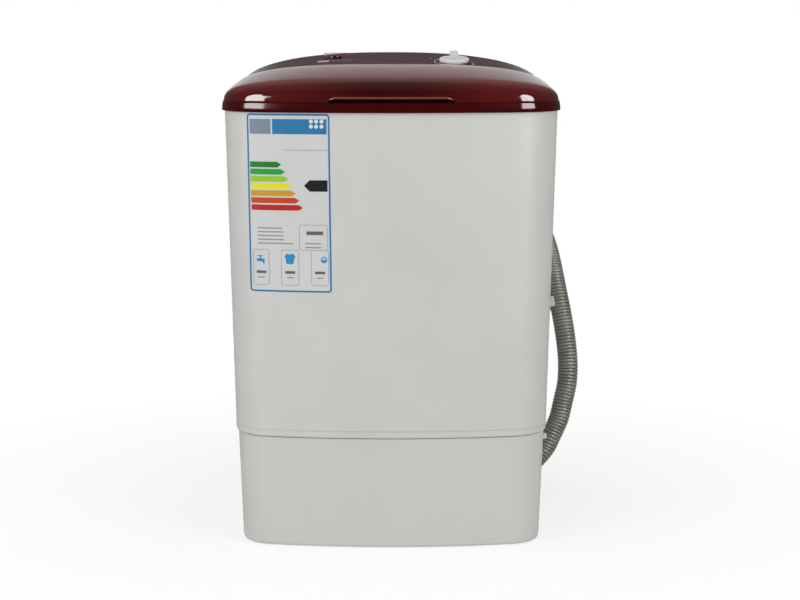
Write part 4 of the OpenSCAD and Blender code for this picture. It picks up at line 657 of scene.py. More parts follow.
def makeBase():
    c, b, h = cabinetSetup, baseSetup, hoseSetup
    seam, low = c["seamZ"], b["edgeZ"]
    floorZ, spigotTop, shadow = low + b["floorThick"], seam + b["spigot"], seam - b["seamGap"]
    grip = casingInset(seam) + c["wall"] + b["gap"]
    gripTop = casingInset(spigotTop) + c["wall"] + b["gap"]
    recess, inner = baseInset(seam) + b["seamDepth"], baseInset(floorZ) + b["wall"]
    rings = []
    for a in turnsOf(90, b["curlSteps"]):       # rounded lower edge
        z = low + b["curlHeight"] * (1 - math.cos(a))
        rings.append(bodyRing(baseInset(z) + b["curl"] * (1 - math.sin(a)), z))
    rest = [(baseInset(shadow), shadow), (recess, shadow), (recess, seam), (grip, seam), (gripTop, spigotTop),
            (gripTop + b["spigotWall"], spigotTop), (grip + b["spigotWall"], seam),
            (baseInset(seam) + b["wall"] + b["gap"], seam - b["shoulderDrop"]), (inner, floorZ),
            (inner + b["floorLip"], floorZ), (inner + b["floorLip"], low)]
    rings += [bodyRing(inset, z) for inset, z in rest]
    base = finishShape(ringShape(rings, True), "baseSkin", "baseWhite")
    cutter = bmesh.new()
    front, back = halfDepth - b["cutIn"], halfDepth + b["cutOut"]
    x0, z0, x1, z1 = b["serviceHole"]
    addBlock(cutter, (x0, front, z0), (x1, back, z1))
    x, z, r = b["glandHole"]
    addBar(cutter, (x, front, z), (x, back, z), r)
    holeEnds = [outletStart + outletHeading * h[key] for key in ("wallHoleFrom", "wallHoleTo")]
    addBar(cutter, *holeEnds, h["diameter"] / 2 + b["gap"])
    return cutFrom(base, finishShape(cutter, "baseCutter", "baseWhite"))


# Profiles hold pairs of (inset, height): over the rim for the band, over the lid line for the mouth
frameSetup = {
    "wall": 3.0, "mouthHalfWidth": 166.0, "mouthFront": -160.0, "mouthBack": 46.0, "mouthBulge": 800,
    "mouthCorner": 46, "mouthBackCorner": 30, "skirtGap": 0.4, "innerSkirt": 5.0,
    "bandProfile": ((0.5, 0), (0.12, 0.2), (0, 0.6), (0.4, 6)),
    "edgeInset": 1.0, "edgeWide": 1.4, "edgeTall": 1.6, "edgeSteps": 5,
    "mouthProfile": ((-1.2, 0), (-0.35, -0.35), (0, -1.2)),
    "hingeX": 120.0, "hingeY": 66.0, "hingeRise": 24.5,
    "knuckleAside": 4.9, "knuckleThick": 3.0, "knuckleRadius": 6.0, "knuckleSink": 1.0, "knuckleSteps": 20,
}
hingeZ = lidLine + frameSetup["hingeRise"]


def mouthRing(inset, z):
    s = frameSetup
    middle = (s["mouthBack"] + s["mouthFront"]) / 2
    w, d = s["mouthHalfWidth"] - inset, (s["mouthBack"] - s["mouthFront"]) / 2 - inset
    back = roundBack(w, d, s["mouthBackCorner"] - inset)
    outline = planOutline(w, d, s["mouthBulge"], s["mouthCorner"] - inset, back)
    return [(x, y + middle, z) for x, y in outline]


def addKnuckle(shape, x):
    s = frameSetup
    y, r = s["hingeY"], s["knuckleRadius"]
    half, footZ = s["knuckleThick"] / 2, lidLine - s["knuckleSink"]
    side = [(y + r * math.cos(t), hingeZ + r * math.sin(t)) for t in turnsOf(180, s["knuckleSteps"])]
    side += [(y - r, footZ), (y + r, footZ)]
    addRings(shape, [[(x + dx, y, z) for y, z in side] for dx in (-half, half)], False)


def makeTopFrame():
    c, s = cabinetSetup, frameSetup
    low, plate = c["rimZ"], lidLine - s["wall"]
    skirt = c["overhang"] - s["skirtGap"]
    band = [(skirt, low)] + [(inset, low + z) for inset, z in s["bandProfile"]]
    for a in turnsOf(90, s["edgeSteps"]):       # rounded upper edge of the band
        inset = s["edgeInset"] + s["edgeWide"] * (1 - math.cos(a))
        band.append((inset, lidLine - s["edgeTall"] * (1 - math.sin(a))))
    mouth = [(inset, lidLine + z) for inset, z in s["mouthProfile"]]
    mouth += [(0, low + s["innerSkirt"]), (-s["wall"], low + s["innerSkirt"]), (-s["wall"], plate)]
    rings = [bodyRing(*step) for step in band] + [mouthRing(*step) for step in mouth]
    rings.append(bodyRing(skirt + s["skirtGap"] / 2, plate))
    shape = ringShape(rings, True)
    for side in (-1, 1):
        for edge in (-1, 1):
            addKnuckle(shape, side * s["hingeX"] + edge * s["knuckleAside"])
    return finishShape(shape, "rimSkin", "rimMaroon")


lidSetup = {
    "inset": 2.4, "wall": 2.5, "back": 58.0, "frontRise": 23.5, "backRise": 37.5, "frontRun": 60.0,
    "skirt": 2.0, "crownPower": 2.8, "crownFall": 0.38, "crownDepth": 1.5, "rollPower": 4, "rollFall": 0.42,
    "middleY": -60.0, "foot": 0.3, "edgeStep": 3.0,
    "slotWidth": 149.0, "slotHeight": 4.2, "slotSteps": 40, "cutUnder": 1, "cutOut": 5,
    "pocketDepth": 19.5, "pocketWall": 2.0, "pocketFront": 2.6,
    "lipSink": 2.0, "lipFade": 8.0, "lipDrop": 2.4, "lipThin": 0.25, "lipPower": 0.7, "lipKeep": 0.6,
    "lipSteps": 160,
    "lipProfile": ((0, 0), (2.7, 0.25), (3.1, 0.6), (3.2, 1.0), (3.05, 1.5), (2.3, 2.3), (0.4, 3.4)),
    "earHalf": 3.0, "earRadius": 5.0, "earSink": 1.0, "earFoot": 2.0, "earDrop": 12.0,
    "rings": (1, 0.997, 0.993, 0.988, 0.981, 0.973, 0.963, 0.95, 0.935, 0.915, 0.89, 0.86, 0.82, 0.77,
              0.71, 0.63, 0.54, 0.44, 0.33, 0.21, 0.1),
}
lidFoot = lidLine + lidSetup["foot"]
lidFace = cabinetSetup["bulgeRadius"] - lidSetup["inset"]
slotTurn = math.asin(lidSetup["slotWidth"] / 2 / lidFace)


# Straight edge across the plan, with its points closer together near the sides
def crossEdge(w, y, sign):
    n, reach = cabinetSetup["crossSteps"], w * cabinetSetup["crossReach"]
    return [(sign * reach * math.sin(math.radians(90 - 180 * i / n)), y) for i in range(n + 1)]


def lidPlan(inset):
    s = lidSetup
    sizes = planSizes(inset)
    w, back = sizes[0], s["back"] - inset + s["inset"]
    middle, near = (cornerOf(*sizes)[1] + back) / 2, back - s["edgeStep"]
    backEdge = [(w, middle), (w, near)] + crossEdge(w, back, 1) + [(-w, near), (-w, middle)]
    return planOutline(*sizes, backEdge)


def frontEdgeY(x, inset):
    w, d, bulge, front = planSizes(inset)
    bulgeY, cornerY, swing = cornerOf(w, d, bulge, front)
    ax = min(abs(x), w)
    if ax < bulge * math.sin(math.radians(swing)):
        return bulgeY - math.sqrt(bulge ** 2 - ax ** 2)
    return cornerY - math.sqrt(max(0, front ** 2 - (ax - (w - front)) ** 2))


def lidHeight(x, y, inset):
    s = lidSetup
    across = max(0, 1 - (abs(x) / (halfWidth - inset)) ** s["crownPower"]) ** s["crownFall"]
    along = min(1, max(0, (y - frontEdgeY(x, inset)) / s["frontRun"]))
    roll = (1 - (1 - along) ** s["rollPower"]) ** s["rollFall"]
    backward = (y + halfDepth) / (s["back"] + halfDepth)
    top = s["frontRise"] + (s["backRise"] - s["frontRise"]) * (1 - max(0, 1 - backward) ** s["crownDepth"])
    return lidLine + s["skirt"] + (top - s["skirt"] - (inset - s["inset"])) * across * roll


# Rings of a plan, each drawn in towards the middle and lifted to the height of its place
def shellRings(plan, height, s, inset, middleY, footZ):
    outline = plan(inset)
    rings = [lifted(outline, footZ)]
    for share in s["rings"]:
        places = [(px * share, middleY + (py - middleY) * share) for px, py in outline]
        rings.append([(x, y, height(x, y, inset)) for x, y in places])
    return rings


def closedShell(plan, height, s, middleY, footZ):
    inner = shellRings(plan, height, s, s["inset"] + s["wall"], middleY, footZ)
    return ringShape(inner[::-1] + shellRings(plan, height, s, s["inset"], middleY, footZ), False)


# Section of (distance from the bulge's middle, height) swept round the bulged front
def frontSector(section, halfTurn, steps):
    middleY = cabinetSetup["bulgeRadius"] - halfDepth
    rings = []
    for i in range(steps + 1):
        a = math.radians(-90) - halfTurn + 2 * halfTurn * i / steps
        ring = section(lidFace * (halfTurn - abs(2 * halfTurn * i / steps - halfTurn)))
        rings.append([(r * math.cos(a), middleY + r * math.sin(a), z) for r, z in ring])
    return ringShape(rings, False)


def slotCutter():
    s = lidSetup
    low, high = lidFoot - s["cutUnder"], lidFoot + s["slotHeight"]
    section = rectangle(lidFace - s["pocketDepth"], low, lidFace + s["cutOut"], high)
    shape = frontSector(lambda fromEnd: section, slotTurn, s["slotSteps"])
    return finishShape(shape, "slotCutter", "pocketShade")


def makeLid():
    shell = closedShell(lidPlan, lidHeight, lidSetup, lidSetup["middleY"], lidFoot)
    return cutFrom(finishShape(shell, "lidShell", "lidWine"), slotCutter())


# Closed box behind the finger slot, moulded with the lid; its near-black finish is painted shade in the slot
def makeLidPocket():
    s = lidSetup
    back, top = lidFace - s["pocketDepth"] - s["pocketWall"], lidFoot + s["slotHeight"] + s["pocketWall"]
    section = rectangle(back, lidFoot, lidFace - s["pocketFront"], top)
    shape = frontSector(lambda fromEnd: section, slotTurn + s["pocketWall"] / lidFace, s["slotSteps"])
    return cutFrom(finishShape(shape, "lidPocket", "pocketShade"), slotCutter())


# Lip over the finger slot; towards its ends it thins out and curves down
def lipSection(fromEnd):
    s = lidSetup
    share = min(1, fromEnd / s["lipFade"])
    low = lidFoot + s["slotHeight"] - s["lipDrop"] * (1 - share) ** 2
    size = s["lipThin"] + (1 - s["lipThin"]) * share ** s["lipPower"]
    reach = s["lipKeep"] + (1 - s["lipKeep"]) * size
    return [(lidFace - s["lipSink"] + r * reach, low + z * size) for r, z in s["lipProfile"]]


def makeLidLip():
    # Painted highlight: the lip takes the paler wine
    return finishShape(frontSector(lipSection, slotTurn, lidSetup["lipSteps"]), "lidLip", "lipWine")


# The two hinge ears, fused to the lid
def makeLidEars():
    s, y = lidSetup, frameSetup["hingeY"]
    half, r, foot = s["earHalf"], s["earRadius"], s["back"] - s["earSink"]
    shape = bmesh.new()
    for x in (-frameSetup["hingeX"], frameSetup["hingeX"]):
        addBar(shape, (x - half, y, hingeZ), (x + half, y, hingeZ), r)
        addBlock(shape, (x - half, foot, hingeZ - r), (x + half, y, hingeZ + r))
        low, high = (x - half, foot, hingeZ - s["earDrop"]), (x + half, s["back"] + s["earFoot"], hingeZ)
        addBlock(shape, low, high)
    return finishShape(shape, "lidEars", "lidWine")


# The seat's profiles hold pairs of (outward, up)
# The frame's pairs say how much longer and wider than the rocker its lens is
panelSetup = {
    "inset": 2.2, "wall": 2.6, "front": 82.0, "rise": 49.5, "slope": 9.0, "skirt": 1.5, "foot": 0.2,
    "edgeRadius": 4.0, "edgeShare": 0.9, "edgeStep": 3.0, "backSteps": 15, "crownPower": 2.4,
    "crownFall": 0.46, "knob": (83.5, 120.0), "knobSink": 1.1, "seatRadius": 22.75, "seatSteps": 72,
    "seatInner": ((4.2, -4), (4.2, 0)), "seatOuter": ((-0.8, 0), (-0.2, -0.25), (0, -0.8), (0, -4)),
    "rocker": (-75.5, 150.0), "rockerSize": (22.0, 13.0), "rockerSink": 1.4, "rockerHole": (-12, 8),
    "frameOuter": (7, 6), "frameCrest": (6, 5), "frameInner": (0.8, 0.8),
    "frameDepth": 5, "frameShoulder": 0.5, "frameDip": 0.1,
    "inlet": (-76.0, 560.0), "inletRadius": 10.4, "inletReach": 8,
    "rings": (1, 0.992, 0.984, 0.975, 0.964, 0.95, 0.93, 0.9, 0.86, 0.8, 0.72, 0.62, 0.5, 0.36, 0.2, 0.08),
}
panelTilt = math.radians(panelSetup["slope"])


def panelPlan(inset):
    c, s = cabinetSetup, panelSetup
    w, d, back = halfWidth - inset, halfDepth - inset, c["backCorner"] - inset
    front, n = s["front"] + inset - s["inset"], s["backSteps"]
    points = crossEdge(w, front, -1) + [(w, front + s["edgeStep"])]
    points += arcPoints(w - back, d - back, back, 0, 90, c["backSteps"])
    points += [(-(w - back) * i / n, d) for i in range(1 - n, n)]
    points += arcPoints(back - w, d - back, back, 90, 180, c["backSteps"])
    return points + [(-w, front + s["edgeStep"])]


def panelHeight(x, y, inset):
    s = panelSetup
    drop = (halfDepth - y) * math.tan(panelTilt)
    across = max(0, 1 - (abs(x) / (halfWidth - inset)) ** s["crownPower"]) ** s["crownFall"]
    toEdge = max(0, halfDepth - inset - y)
    r = s["edgeRadius"]
    fall = 0 if toEdge >= r else s["edgeShare"] * (r - math.sqrt(r * r - (r - toEdge) ** 2))
    top = (s["rise"] - s["skirt"] - drop - (inset - s["inset"])) * across
    return lidLine + s["skirt"] + max(0, top - fall)


# Turns points of a flat drawing on the panel into places: u to the right, v up the slope, w off the panel
def onPanel(at, points):
    x0, y0 = at
    z0 = lidLine + panelSetup["rise"] - (halfDepth - y0) * math.tan(panelTilt)
    across, up = math.cos(panelTilt), math.sin(panelTilt)
    return [(x0 + u, y0 + v * across - w * up, z0 + v * up + w * across) for u, v, w in points]


# Lens outline that outgrows the rocker's by the given length and width
def rockerLens(growth, w, steps=24):
    length, width = (size + more for size, more in zip(panelSetup["rockerSize"], growth))
    r = (length * length / 4 + width * width / 4) / width
    half = math.degrees(math.asin(length / 2 / r))
    low = arcPoints(0, r - width / 2, r, -90 - half, -90 + half, steps)
    outline = low + [(-x, -y) for x, y in low[1:-1]]
    return onPanel(panelSetup["rocker"], [(u, v, w - panelSetup["rockerSink"]) for u, v in outline])


def makePanel():
    s = panelSetup
    shell = closedShell(panelPlan, panelHeight, s, (s["front"] + halfDepth) / 2, lidLine + s["foot"])
    panel = finishShape(shell, "panelSkin", "panelPlum")
    bottom, top = s["rockerHole"]
    cutter = ringShape([rockerLens(s["frameOuter"], w) for w in (bottom, top + s["rockerSink"])], False)
    x, z = s["inlet"]
    reach = s["inletReach"]
    addBar(cutter, (x, halfDepth - reach, z), (x, halfDepth + reach, z), s["inletRadius"])
    return cutFrom(panel, finishShape(cutter, "panelCutter", "panelPlum"))


# Raised seat round the knob and the frame round the rocker, fused to the panel
def makePanelSeats():
    s = panelSetup
    section = list(s["seatInner"]) + [(s["seatRadius"] + out, w) for out, w in s["seatOuter"]]
    rings = []
    for t in turnsOf(360, s["seatSteps"])[:-1]:
        ring = [(out * math.cos(t), out * math.sin(t), w - s["knobSink"]) for out, w in section]
        rings.append(onPanel(s["knob"], ring))
    shape = ringShape(rings, True)
    outer, crestHighlight, inner = (s[key] for key in ("frameOuter", "frameCrest", "frameInner"))
    deep = -s["frameDepth"]
    levels = [(outer, deep), (outer, -s["frameShoulder"]), (crestHighlight, 0), (inner, -s["frameDip"]), (inner, deep)]
    addRings(shape, [rockerLens(growth, w) for growth, w in levels], True)
    return finishShape(shape, "panelSeats", "panelPlum")


bigSkins = {
    "outer_casing": (makeCasing, "cabinet", "white_shell"),
    "base_casing": (makeBase, "cabinet", "white_shell"),
    "top_frame": (makeTopFrame, "cabinet", "maroon_plastic"),
    "lid": (makeLid, "lid", "smoked_lid"),
    "control_panel": (makePanel, "cabinet", "panel_plastic"),
    "lidLip": (makeLidLip, "lid", "smoked_lid"),
    "lidEars": (makeLidEars, "lid", "smoked_lid"),
    "lidPocket": (makeLidPocket, "lid", "smoked_lid"),
    "panelSeats": (makePanelSeats, "cabinet", "panel_plastic"),
}
skins = {}
for skinName, (make, body, slotName) in bigSkins.items():
    skins[skinName] = make()
    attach(skins[skinName], body)
    if skinName in nodes:                       # the rest are fused to a skin and stand for no node
        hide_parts(skinName)
print("big skins made")


# Smooth skins over the solids

mergeNear = 0.00001
dropUnder = 0.000005


# Copy of a solid with its doubles merged and its curved faces shaded smooth
def smoothCopy(nodeName, finish):
    shape = bmesh.new()
    shape.from_mesh(nodes[nodeName].data)
    bmesh.ops.remove_doubles(shape, verts=shape.verts, dist=mergeNear)
    bmesh.ops.dissolve_degenerate(shape, edges=shape.edges, dist=dropUnder)
    markSharp(shape)
    for face in shape.faces:
        face.material_index = 0
    return toObject(shape, nodeName + "Skin", finish)


def bodyOf(nodeName):
    bodies = frame["record"]["behaviour"]["bodies"]
    return next((body for body, members in bodies.items() if nodeName in members), "cabinet")


skinLooks = {
    "service_cover": "baseWhite", "timer_knob": "knobWhite", "rocker": "rockerRed",
    "inlet_spigot": "clipWhite", "wash_tub": "tubWhite", "drain_strainer": "tubWhite",
    "pulsator": "tubWhite", "hose_end": "cuffRubber", "hose_clip": "clipWhite", "hose_rest": "clipWhite",
    "hose_hook_right": "clipWhite", "hose_hook_left": "clipWhite", "hose_clamp": "screwSteel",
    "drain_pipe": "greyPlastic", "cable_gland": "blackPlastic", "feet": "rubberBlack",
    "bottom_cover": "darkPlastic", "hinge_pins": "screwSteel", "service_screws": "screwSteel",
    "pulsator_screw": "screwSteel", "inlet_pipe": "ivoryPlastic",
}
solidLooks = {
    "timer": "ivoryPlastic", "timer_shaft": "screwSteel", "switch_housing": "blackPlastic",
    "pulsator_shaft": "screwSteel", "large_pulley": "castAluminium", "bearing_housing": "castAluminium",
    "housing_screws": "screwSteel", "bearing_bushes": "bronzeSinter", "water_seal": "rubberBlack",
    "drive_belt": "beltRubber", "motor_pulley": "castAluminium", "cooling_fan": "fanPlastic",
    "rotor": "coreSteel", "stator": "coreSteel", "motor_windings": "copperWire",
    "motor_upper_shield": "castAluminium", "motor_lower_shield": "castAluminium",
    "motor_bearings": "screwSteel", "motor_bracket": "zincSheet", "motor_mounts": "rubberBlack",
    "bracket_screws": "screwSteel", "capacitor": "capacitorWhite", "capacitor_strap": "zincSheet",
    "wiring": "sleeveGrey",
}
for nodeName, look in skinLooks.items():
    skins[nodeName] = smoothCopy(nodeName, looks[look])
    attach(skins[nodeName], bodyOf(nodeName))
    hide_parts(nodeName)
for nodeName, look in solidLooks.items():
    for materialSlot in nodes[nodeName].material_slots:
        materialSlot.material = looks[look]

# The inlet's flange stands a little over the console's back edge, as in the photo
inletLook = {"topBand": 0.0008, "rise": 0.0018}
flangeTop = max(vert.co.z for vert in skins["inlet_spigot"].data.vertices)
for vert in skins["inlet_spigot"].data.vertices:
    if vert.co.z > flangeTop - inletLook["topBand"]:
        vert.co.z += inletLook["rise"]
print("finishes set on", len(skinLooks), "skins and", len(solidLooks), "solids")


# Flat prints and the label

# Surface that prints lie on, for dropping points onto it
def surfaceOf(skinName):
    shape = bmesh.new()
    shape.from_mesh(skins[skinName].data)
    found = BVHTree.FromBMesh(shape)
    shape.free()
    return found


# The planes that prints are dropped from: an upright one before the casing, a level one over the panel
beforeCasing = Matrix(((1, 0, 0, 0), (0, 0, 0, -0.4), (0, 1, 0, 0), (0, 0, 0, 1)))
abovePanel = Matrix.Translation((0, 0, 0.7))
# What each family of prints lies on: its plane, direction of the drop, surface, body and slot
prints = {
    "label": (beforeCasing, (0, 1, 0), surfaceOf("outer_casing"), "cabinet", "white_shell"),
    "print": (abovePanel, (0, 0, -1), surfaceOf("control_panel"), "cabinet", "panel_plastic"),
    "mark": (abovePanel, (0, 0, -1), surfaceOf("rocker"), "rocker", "rocker_red"),
}
printCell = 0.004                               # longest edge of a print's mesh
mostCuts = 6


# A flat outline, cut fine, dropped onto a surface and lifted by a hair
def layPrint(family, name, outline, ink, lift):
    place, direction, surface, body, slotName = prints[family]
    heading = Vector(direction)
    shape = bmesh.new()
    shape.faces.new([shape.verts.new((u * mm, v * mm, 0)) for u, v in outline])
    bmesh.ops.triangulate(shape, faces=shape.faces)
    for k in range(mostCuts):
        longOnes = [e for e in shape.edges if e.calc_length() > printCell]
        if not longOnes:
            break
        bmesh.ops.subdivide_edges(shape, edges=longOnes, cuts=1)
        bmesh.ops.triangulate(shape, faces=shape.faces)
    for vert in shape.verts:
        start = place @ vert.co
        hit = surface.ray_cast(start, heading)[0] or surface.find_nearest(start)[0]
        vert.co = hit - heading * lift
    bmesh.ops.recalc_face_normals(shape, faces=shape.faces)
    if sum((f.normal for f in shape.faces), Vector()).dot(heading) > 0:
        bmesh.ops.reverse_faces(shape, faces=shape.faces)
    piece = toObject(shape, family + name, ink)
    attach(piece, body)


def printInk(name, base):
    return mouldedPlastic(name, base, rough=0.5, spread=0.03, grain=2500, grainDepth=0.00001, specular=0.12)


def roundedRectangle(x0, y0, x1, y1, r, steps=5):
    corners = ((x1 - r, y1 - r, 0), (x0 + r, y1 - r, 90), (x0 + r, y0 + r, 180), (x1 - r, y0 + r, 270))
    points = []
    for cx, cy, start in corners:
        points += arcPoints(cx, cy, r, start, start + 90, steps)
    return points


# Label on the front: bare layout of arrows and boxes, without words or figures; sizes as (x0, z0, x1, z1)
labelSetup = {
    "sheet": (-172.2, 319.0, -73.4, 532.6), "border": 2.1, "corner": 4.0,
    "block": (-168.0, 508.6, -142.8, 526.2), "header": (-140.8, 508.6, -76.2, 526.4),
    "dotRadius": 2.35, "dotColumns": (-94.6, -88.5, -82.1), "dotRows": (517.8, 523.7),
    "rule": (-128.0, 489.4, -75.8, 490.1),
    "arrowLeft": -168.0, "arrowShift": 0.2, "arrowTop": 475.6, "arrowStep": 8.55, "arrowHeight": 6.7,
    "arrowPoint": 5.0, "arrowTips": (-130.4, -126.0, -122.2, -117.8, -113.4, -109.2, -104.8),
    "pointer": (-103.4, 440.7, -75.4, 454.2), "pointerNeck": -96.8,
    "noteBox": (-109.6, 369.8, -75.6, 400.8), "noteLines": (379.0, 374.2), "noteMargins": (7, 8),
    "boxes": ((-165.4, 327.2, -146.0, 370.4), (-131.6, 327.2, -110.2, 370.4), (-95.4, 327.2, -74.6, 370.4)),
    "boxCorner": 3.0, "boxLine": 0.6,
    "textLeft": -159.6, "textTop": 397.0, "textStep": 4.6, "textHeight": 1.5,
    "textEnds": (-130.4, -128.6, -128.6, -128.0, -117.2),
    "noteBar": (-101.0, 388.6, -81.0, 393.0), "barRise": 14.2, "barHeight": 3.2, "barHalf": 6.0,
    "unitHalf": 4.0, "unitLow": 5.4, "unitTop": 4.0, "leanTop": 0.7, "leanRate": 0.0086, "lift": 0.00013,
}
labelInks = {
    "paper": (0.575, 0.585, 0.575), "blue": (0.014, 0.165, 0.36), "white": (0.66, 0.67, 0.66),
    "plain": (0.17, 0.23, 0.29), "black": (0.006, 0.006, 0.008), "rule": (0.24, 0.26, 0.36),
    "text": (0.26, 0.265, 0.275), "figure": (0.11, 0.115, 0.12), "icon": (0.018, 0.235, 0.50),
    "grade0": (0.006, 0.17, 0.018), "grade1": (0.008, 0.30, 0.028), "grade2": (0.27, 0.52, 0.018),
    "grade3": (0.70, 0.68, 0.015), "grade4": (0.54, 0.29, 0.010), "grade5": (0.52, 0.050, 0.008),
    "grade6": (0.46, 0.010, 0.010),
}
inks = {key: printInk("label" + key.capitalize(), value) for key, value in labelInks.items()}


# A higher layer lies over the lower ones
def labelPrint(name, outline, ink, layer):
    layPrint("label", name, outline, inks[ink], labelSetup["lift"] * layer)


def disc(x, z, r, steps=24):
    return arcPoints(x, z, r, 0, 360 - 360 / steps, steps - 1)


# The sheet is stuck on a little askew, so it moves aside on the way down
def leaning(outline):
    s = labelSetup
    top = s["sheet"][3]
    return [(u + s["leanTop"] + s["leanRate"] * (top - v), v) for u, v in outline]


def makeSheet():
    s = labelSetup
    x0, z0, x1, z1 = s["sheet"]
    edge, corner = s["border"], s["corner"]
    labelPrint("Edge", leaning(roundedRectangle(x0, z0, x1, z1, corner)), "blue", 1)
    inside = roundedRectangle(x0 + edge, z0 + edge, x1 - edge, z1 - edge, corner - edge)
    labelPrint("Paper", leaning(inside), "paper", 2)
    labelPrint("Block", rectangle(*s["block"]), "plain", 3)
    labelPrint("Header", rectangle(*s["header"]), "blue", 3)
    for i, x in enumerate(s["dotColumns"]):
        for j, z in enumerate(s["dotRows"]):
            labelPrint("Dot%d%d" % (i, j), disc(x, z, s["dotRadius"]), "white", 4)
    labelPrint("Rule", rectangle(*s["rule"]), "rule", 3)


def makeArrows():
    s = labelSetup
    for i, tip in enumerate(s["arrowTips"]):
        top = s["arrowTop"] - i * s["arrowStep"]
        low, neck, left = top - s["arrowHeight"], tip - s["arrowPoint"], s["arrowLeft"] + i * s["arrowShift"]
        outline = [(left, low), (neck, low), (tip, (low + top) / 2), (neck, top), (left, top)]
        labelPrint("Arrow%d" % i, outline, "grade%d" % i, 3)
    tip, low, right, top = s["pointer"]
    neck = s["pointerNeck"]
    outline = [(tip, (low + top) / 2), (neck, low), (right, low), (right, top), (neck, top)]
    labelPrint("Pointer", outline, "black", 3)


# Bars stand where the real sheet has lines of words and figures
def makeTextBars():
    s = labelSetup
    for i, end in enumerate(s["textEnds"]):
        top = s["textTop"] - i * s["textStep"]
        labelPrint("Text%d" % i, rectangle(s["textLeft"], top - s["textHeight"], end, top), "text", 3)
    labelPrint("NoteBar", rectangle(*s["noteBar"]), "figure", 5)
    left, right = s["noteBox"][0] + s["noteMargins"][0], s["noteBox"][2] - s["noteMargins"][1]
    for i, z in enumerate(s["noteLines"]):
        labelPrint("NoteLine%d" % i, rectangle(left, z - s["textHeight"], right, z), "text", 5)


def makeBoxes():
    s = labelSetup
    line, corner = s["boxLine"], s["boxCorner"]
    for i, (x0, z0, x1, z1) in enumerate((s["noteBox"], *s["boxes"])):
        labelPrint("Frame%d" % i, roundedRectangle(x0, z0, x1, z1, corner), "rule", 3)
        inside = roundedRectangle(x0 + line, z0 + line, x1 - line, z1 - line, corner - line)
        labelPrint("Field%d" % i, inside, "paper", 4)
    for i, (x0, z0, x1, z1) in enumerate(s["boxes"]):
        middle, low, half, unit = (x0 + x1) / 2, z0 + s["barRise"], s["barHalf"], s["unitHalf"]
        bar = rectangle(middle - half, low, middle + half, low + s["barHeight"])
        labelPrint("Figure%d" % i, bar, "figure", 5)
        bar = rectangle(middle - unit, low - s["unitLow"], middle + unit, low - s["unitTop"])
        labelPrint("Unit%d" % i, bar, "text", 5)


# Plain signs over the figures: each has its box, its middle from the box's left and top, and its shapes
# A shape has its name, its outline round the sign's middle, and its layer
clothOutline = [
    (4.0, -6.2), (4.0, 1.6), (5.2, 0.6), (6.8, 3.2), (3.6, 6.2), (1.8, 6.2), (0, 5.0), (-1.8, 6.2),
    (-3.6, 6.2), (-6.8, 3.2), (-5.2, 0.6), (-4.0, 1.6), (-4.0, -6.2),
]
signShapes = {
    "Tap": (0, 9.1, 13.0, [
        ("Bar", rectangle(-4, 4.6, 3, 5.6), 5),
        ("Stem", rectangle(-1.2, 1.5, 0.4, 4.8), 5),
        ("Body", roundedRectangle(-5, -1.6, 4.6, 1.8, 1.5), 6),
        ("Drop", disc(3.6, -2.6, 1.4), 7),
    ]),
    "Cloth": (1, 10.5, 11.0, [("", clothOutline, 5)]),
    "Drum": (2, 15.2, 11.6, [("", disc(0, 0, 3.9), 5), ("Window", arcPoints(0, 0, 2.6, 0, 180, 12), 6)]),
}


def makeSigns():
    for name, (box, aside, down, shapes) in signShapes.items():
        x, z = labelSetup["boxes"][box][0] + aside, labelSetup["boxes"][box][3] - down
        for part, outline, layer in shapes:
            ink = "paper" if part == "Window" else "icon"
            labelPrint(name + part, [(x + u, z + v) for u, v in outline], ink, layer)


makeSheet()
makeArrows()
makeTextBars()
makeBoxes()
makeSigns()
print("label laid")


# Prints on the panel and the rocker, places as (x, y)
printSetup = {
    "pill": (-98.8, 125.6, -81.9, 134.0), "pillRound": 4.1, "line": (-79.3, 128.4, -50.7, 129.6),
    "dash": (52.1, 142.0, 55.5, 144.0),
    "ringRadius": 26.0, "ringWidth": 1.2, "ringFrom": -28, "ringTo": 42,
    "tick": 2.8, "tickTurn": 1.4, "tickSteps": 3,
    "roundMark": (-79.3, 150.0), "markRadius": 1.6, "markWidth": 1.0, "markEnds": (1, 359),
    "barMark": (-72.85, 147.4, -71.55, 152.6),
    "lift": 0.00012, "panelInk": (0.52, 0.50, 0.50), "markInk": (0.86, 0.62, 0.66),
}


# Stroke of even width along an arc
def arcStroke(at, r, width, fromDeg, toDeg, steps=24):
    outer = arcPoints(*at, r + width / 2, fromDeg, toDeg, steps)
    return outer + arcPoints(*at, r - width / 2, toDeg, fromDeg, steps)


def makePrints():
    s, knob = printSetup, panelSetup["knob"]
    low, high, tick = s["ringFrom"], s["ringTo"], s["tick"]
    pieces = {"Pill": roundedRectangle(*s["pill"], s["pillRound"]), "Line": rectangle(*s["line"]),
              "Dash": rectangle(*s["dash"])}
    for side, start, end, corner in (("right", low, high, low), ("left", 180 - high, 180 - low, 180 - low)):
        pieces["Ring" + side] = arcStroke(knob, s["ringRadius"], s["ringWidth"], start, end)
        middle, width = s["ringRadius"] - tick / 2, tick + s["ringWidth"]
        tickEnds = corner - s["tickTurn"], corner + s["tickTurn"]
        pieces["Tick" + side] = arcStroke(knob, middle, width, *tickEnds, s["tickSteps"])
    panelInk = printInk("panelPrint", s["panelInk"])
    for name, outline in pieces.items():
        layPrint("print", name, outline, panelInk, s["lift"])
    markInk = printInk("rockerMark", s["markInk"])
    ring = arcStroke(s["roundMark"], s["markRadius"], s["markWidth"], *s["markEnds"])
    layPrint("mark", "Round", ring, markInk, s["lift"])
    layPrint("mark", "Bar", rectangle(*s["barMark"]), markInk, s["lift"])


makePrints()
print("prints laid")


# Floor, light and background

floorSetup = {"size": 30.0, "tone": (0.93, 0.93, 0.93), "rough": 0.9, "nearShare": 0.72, "fadeFrom": 0.26,
              "fadeTo": 0.8, "mirrorFrom": -0.6, "mirrorTo": 0.6}

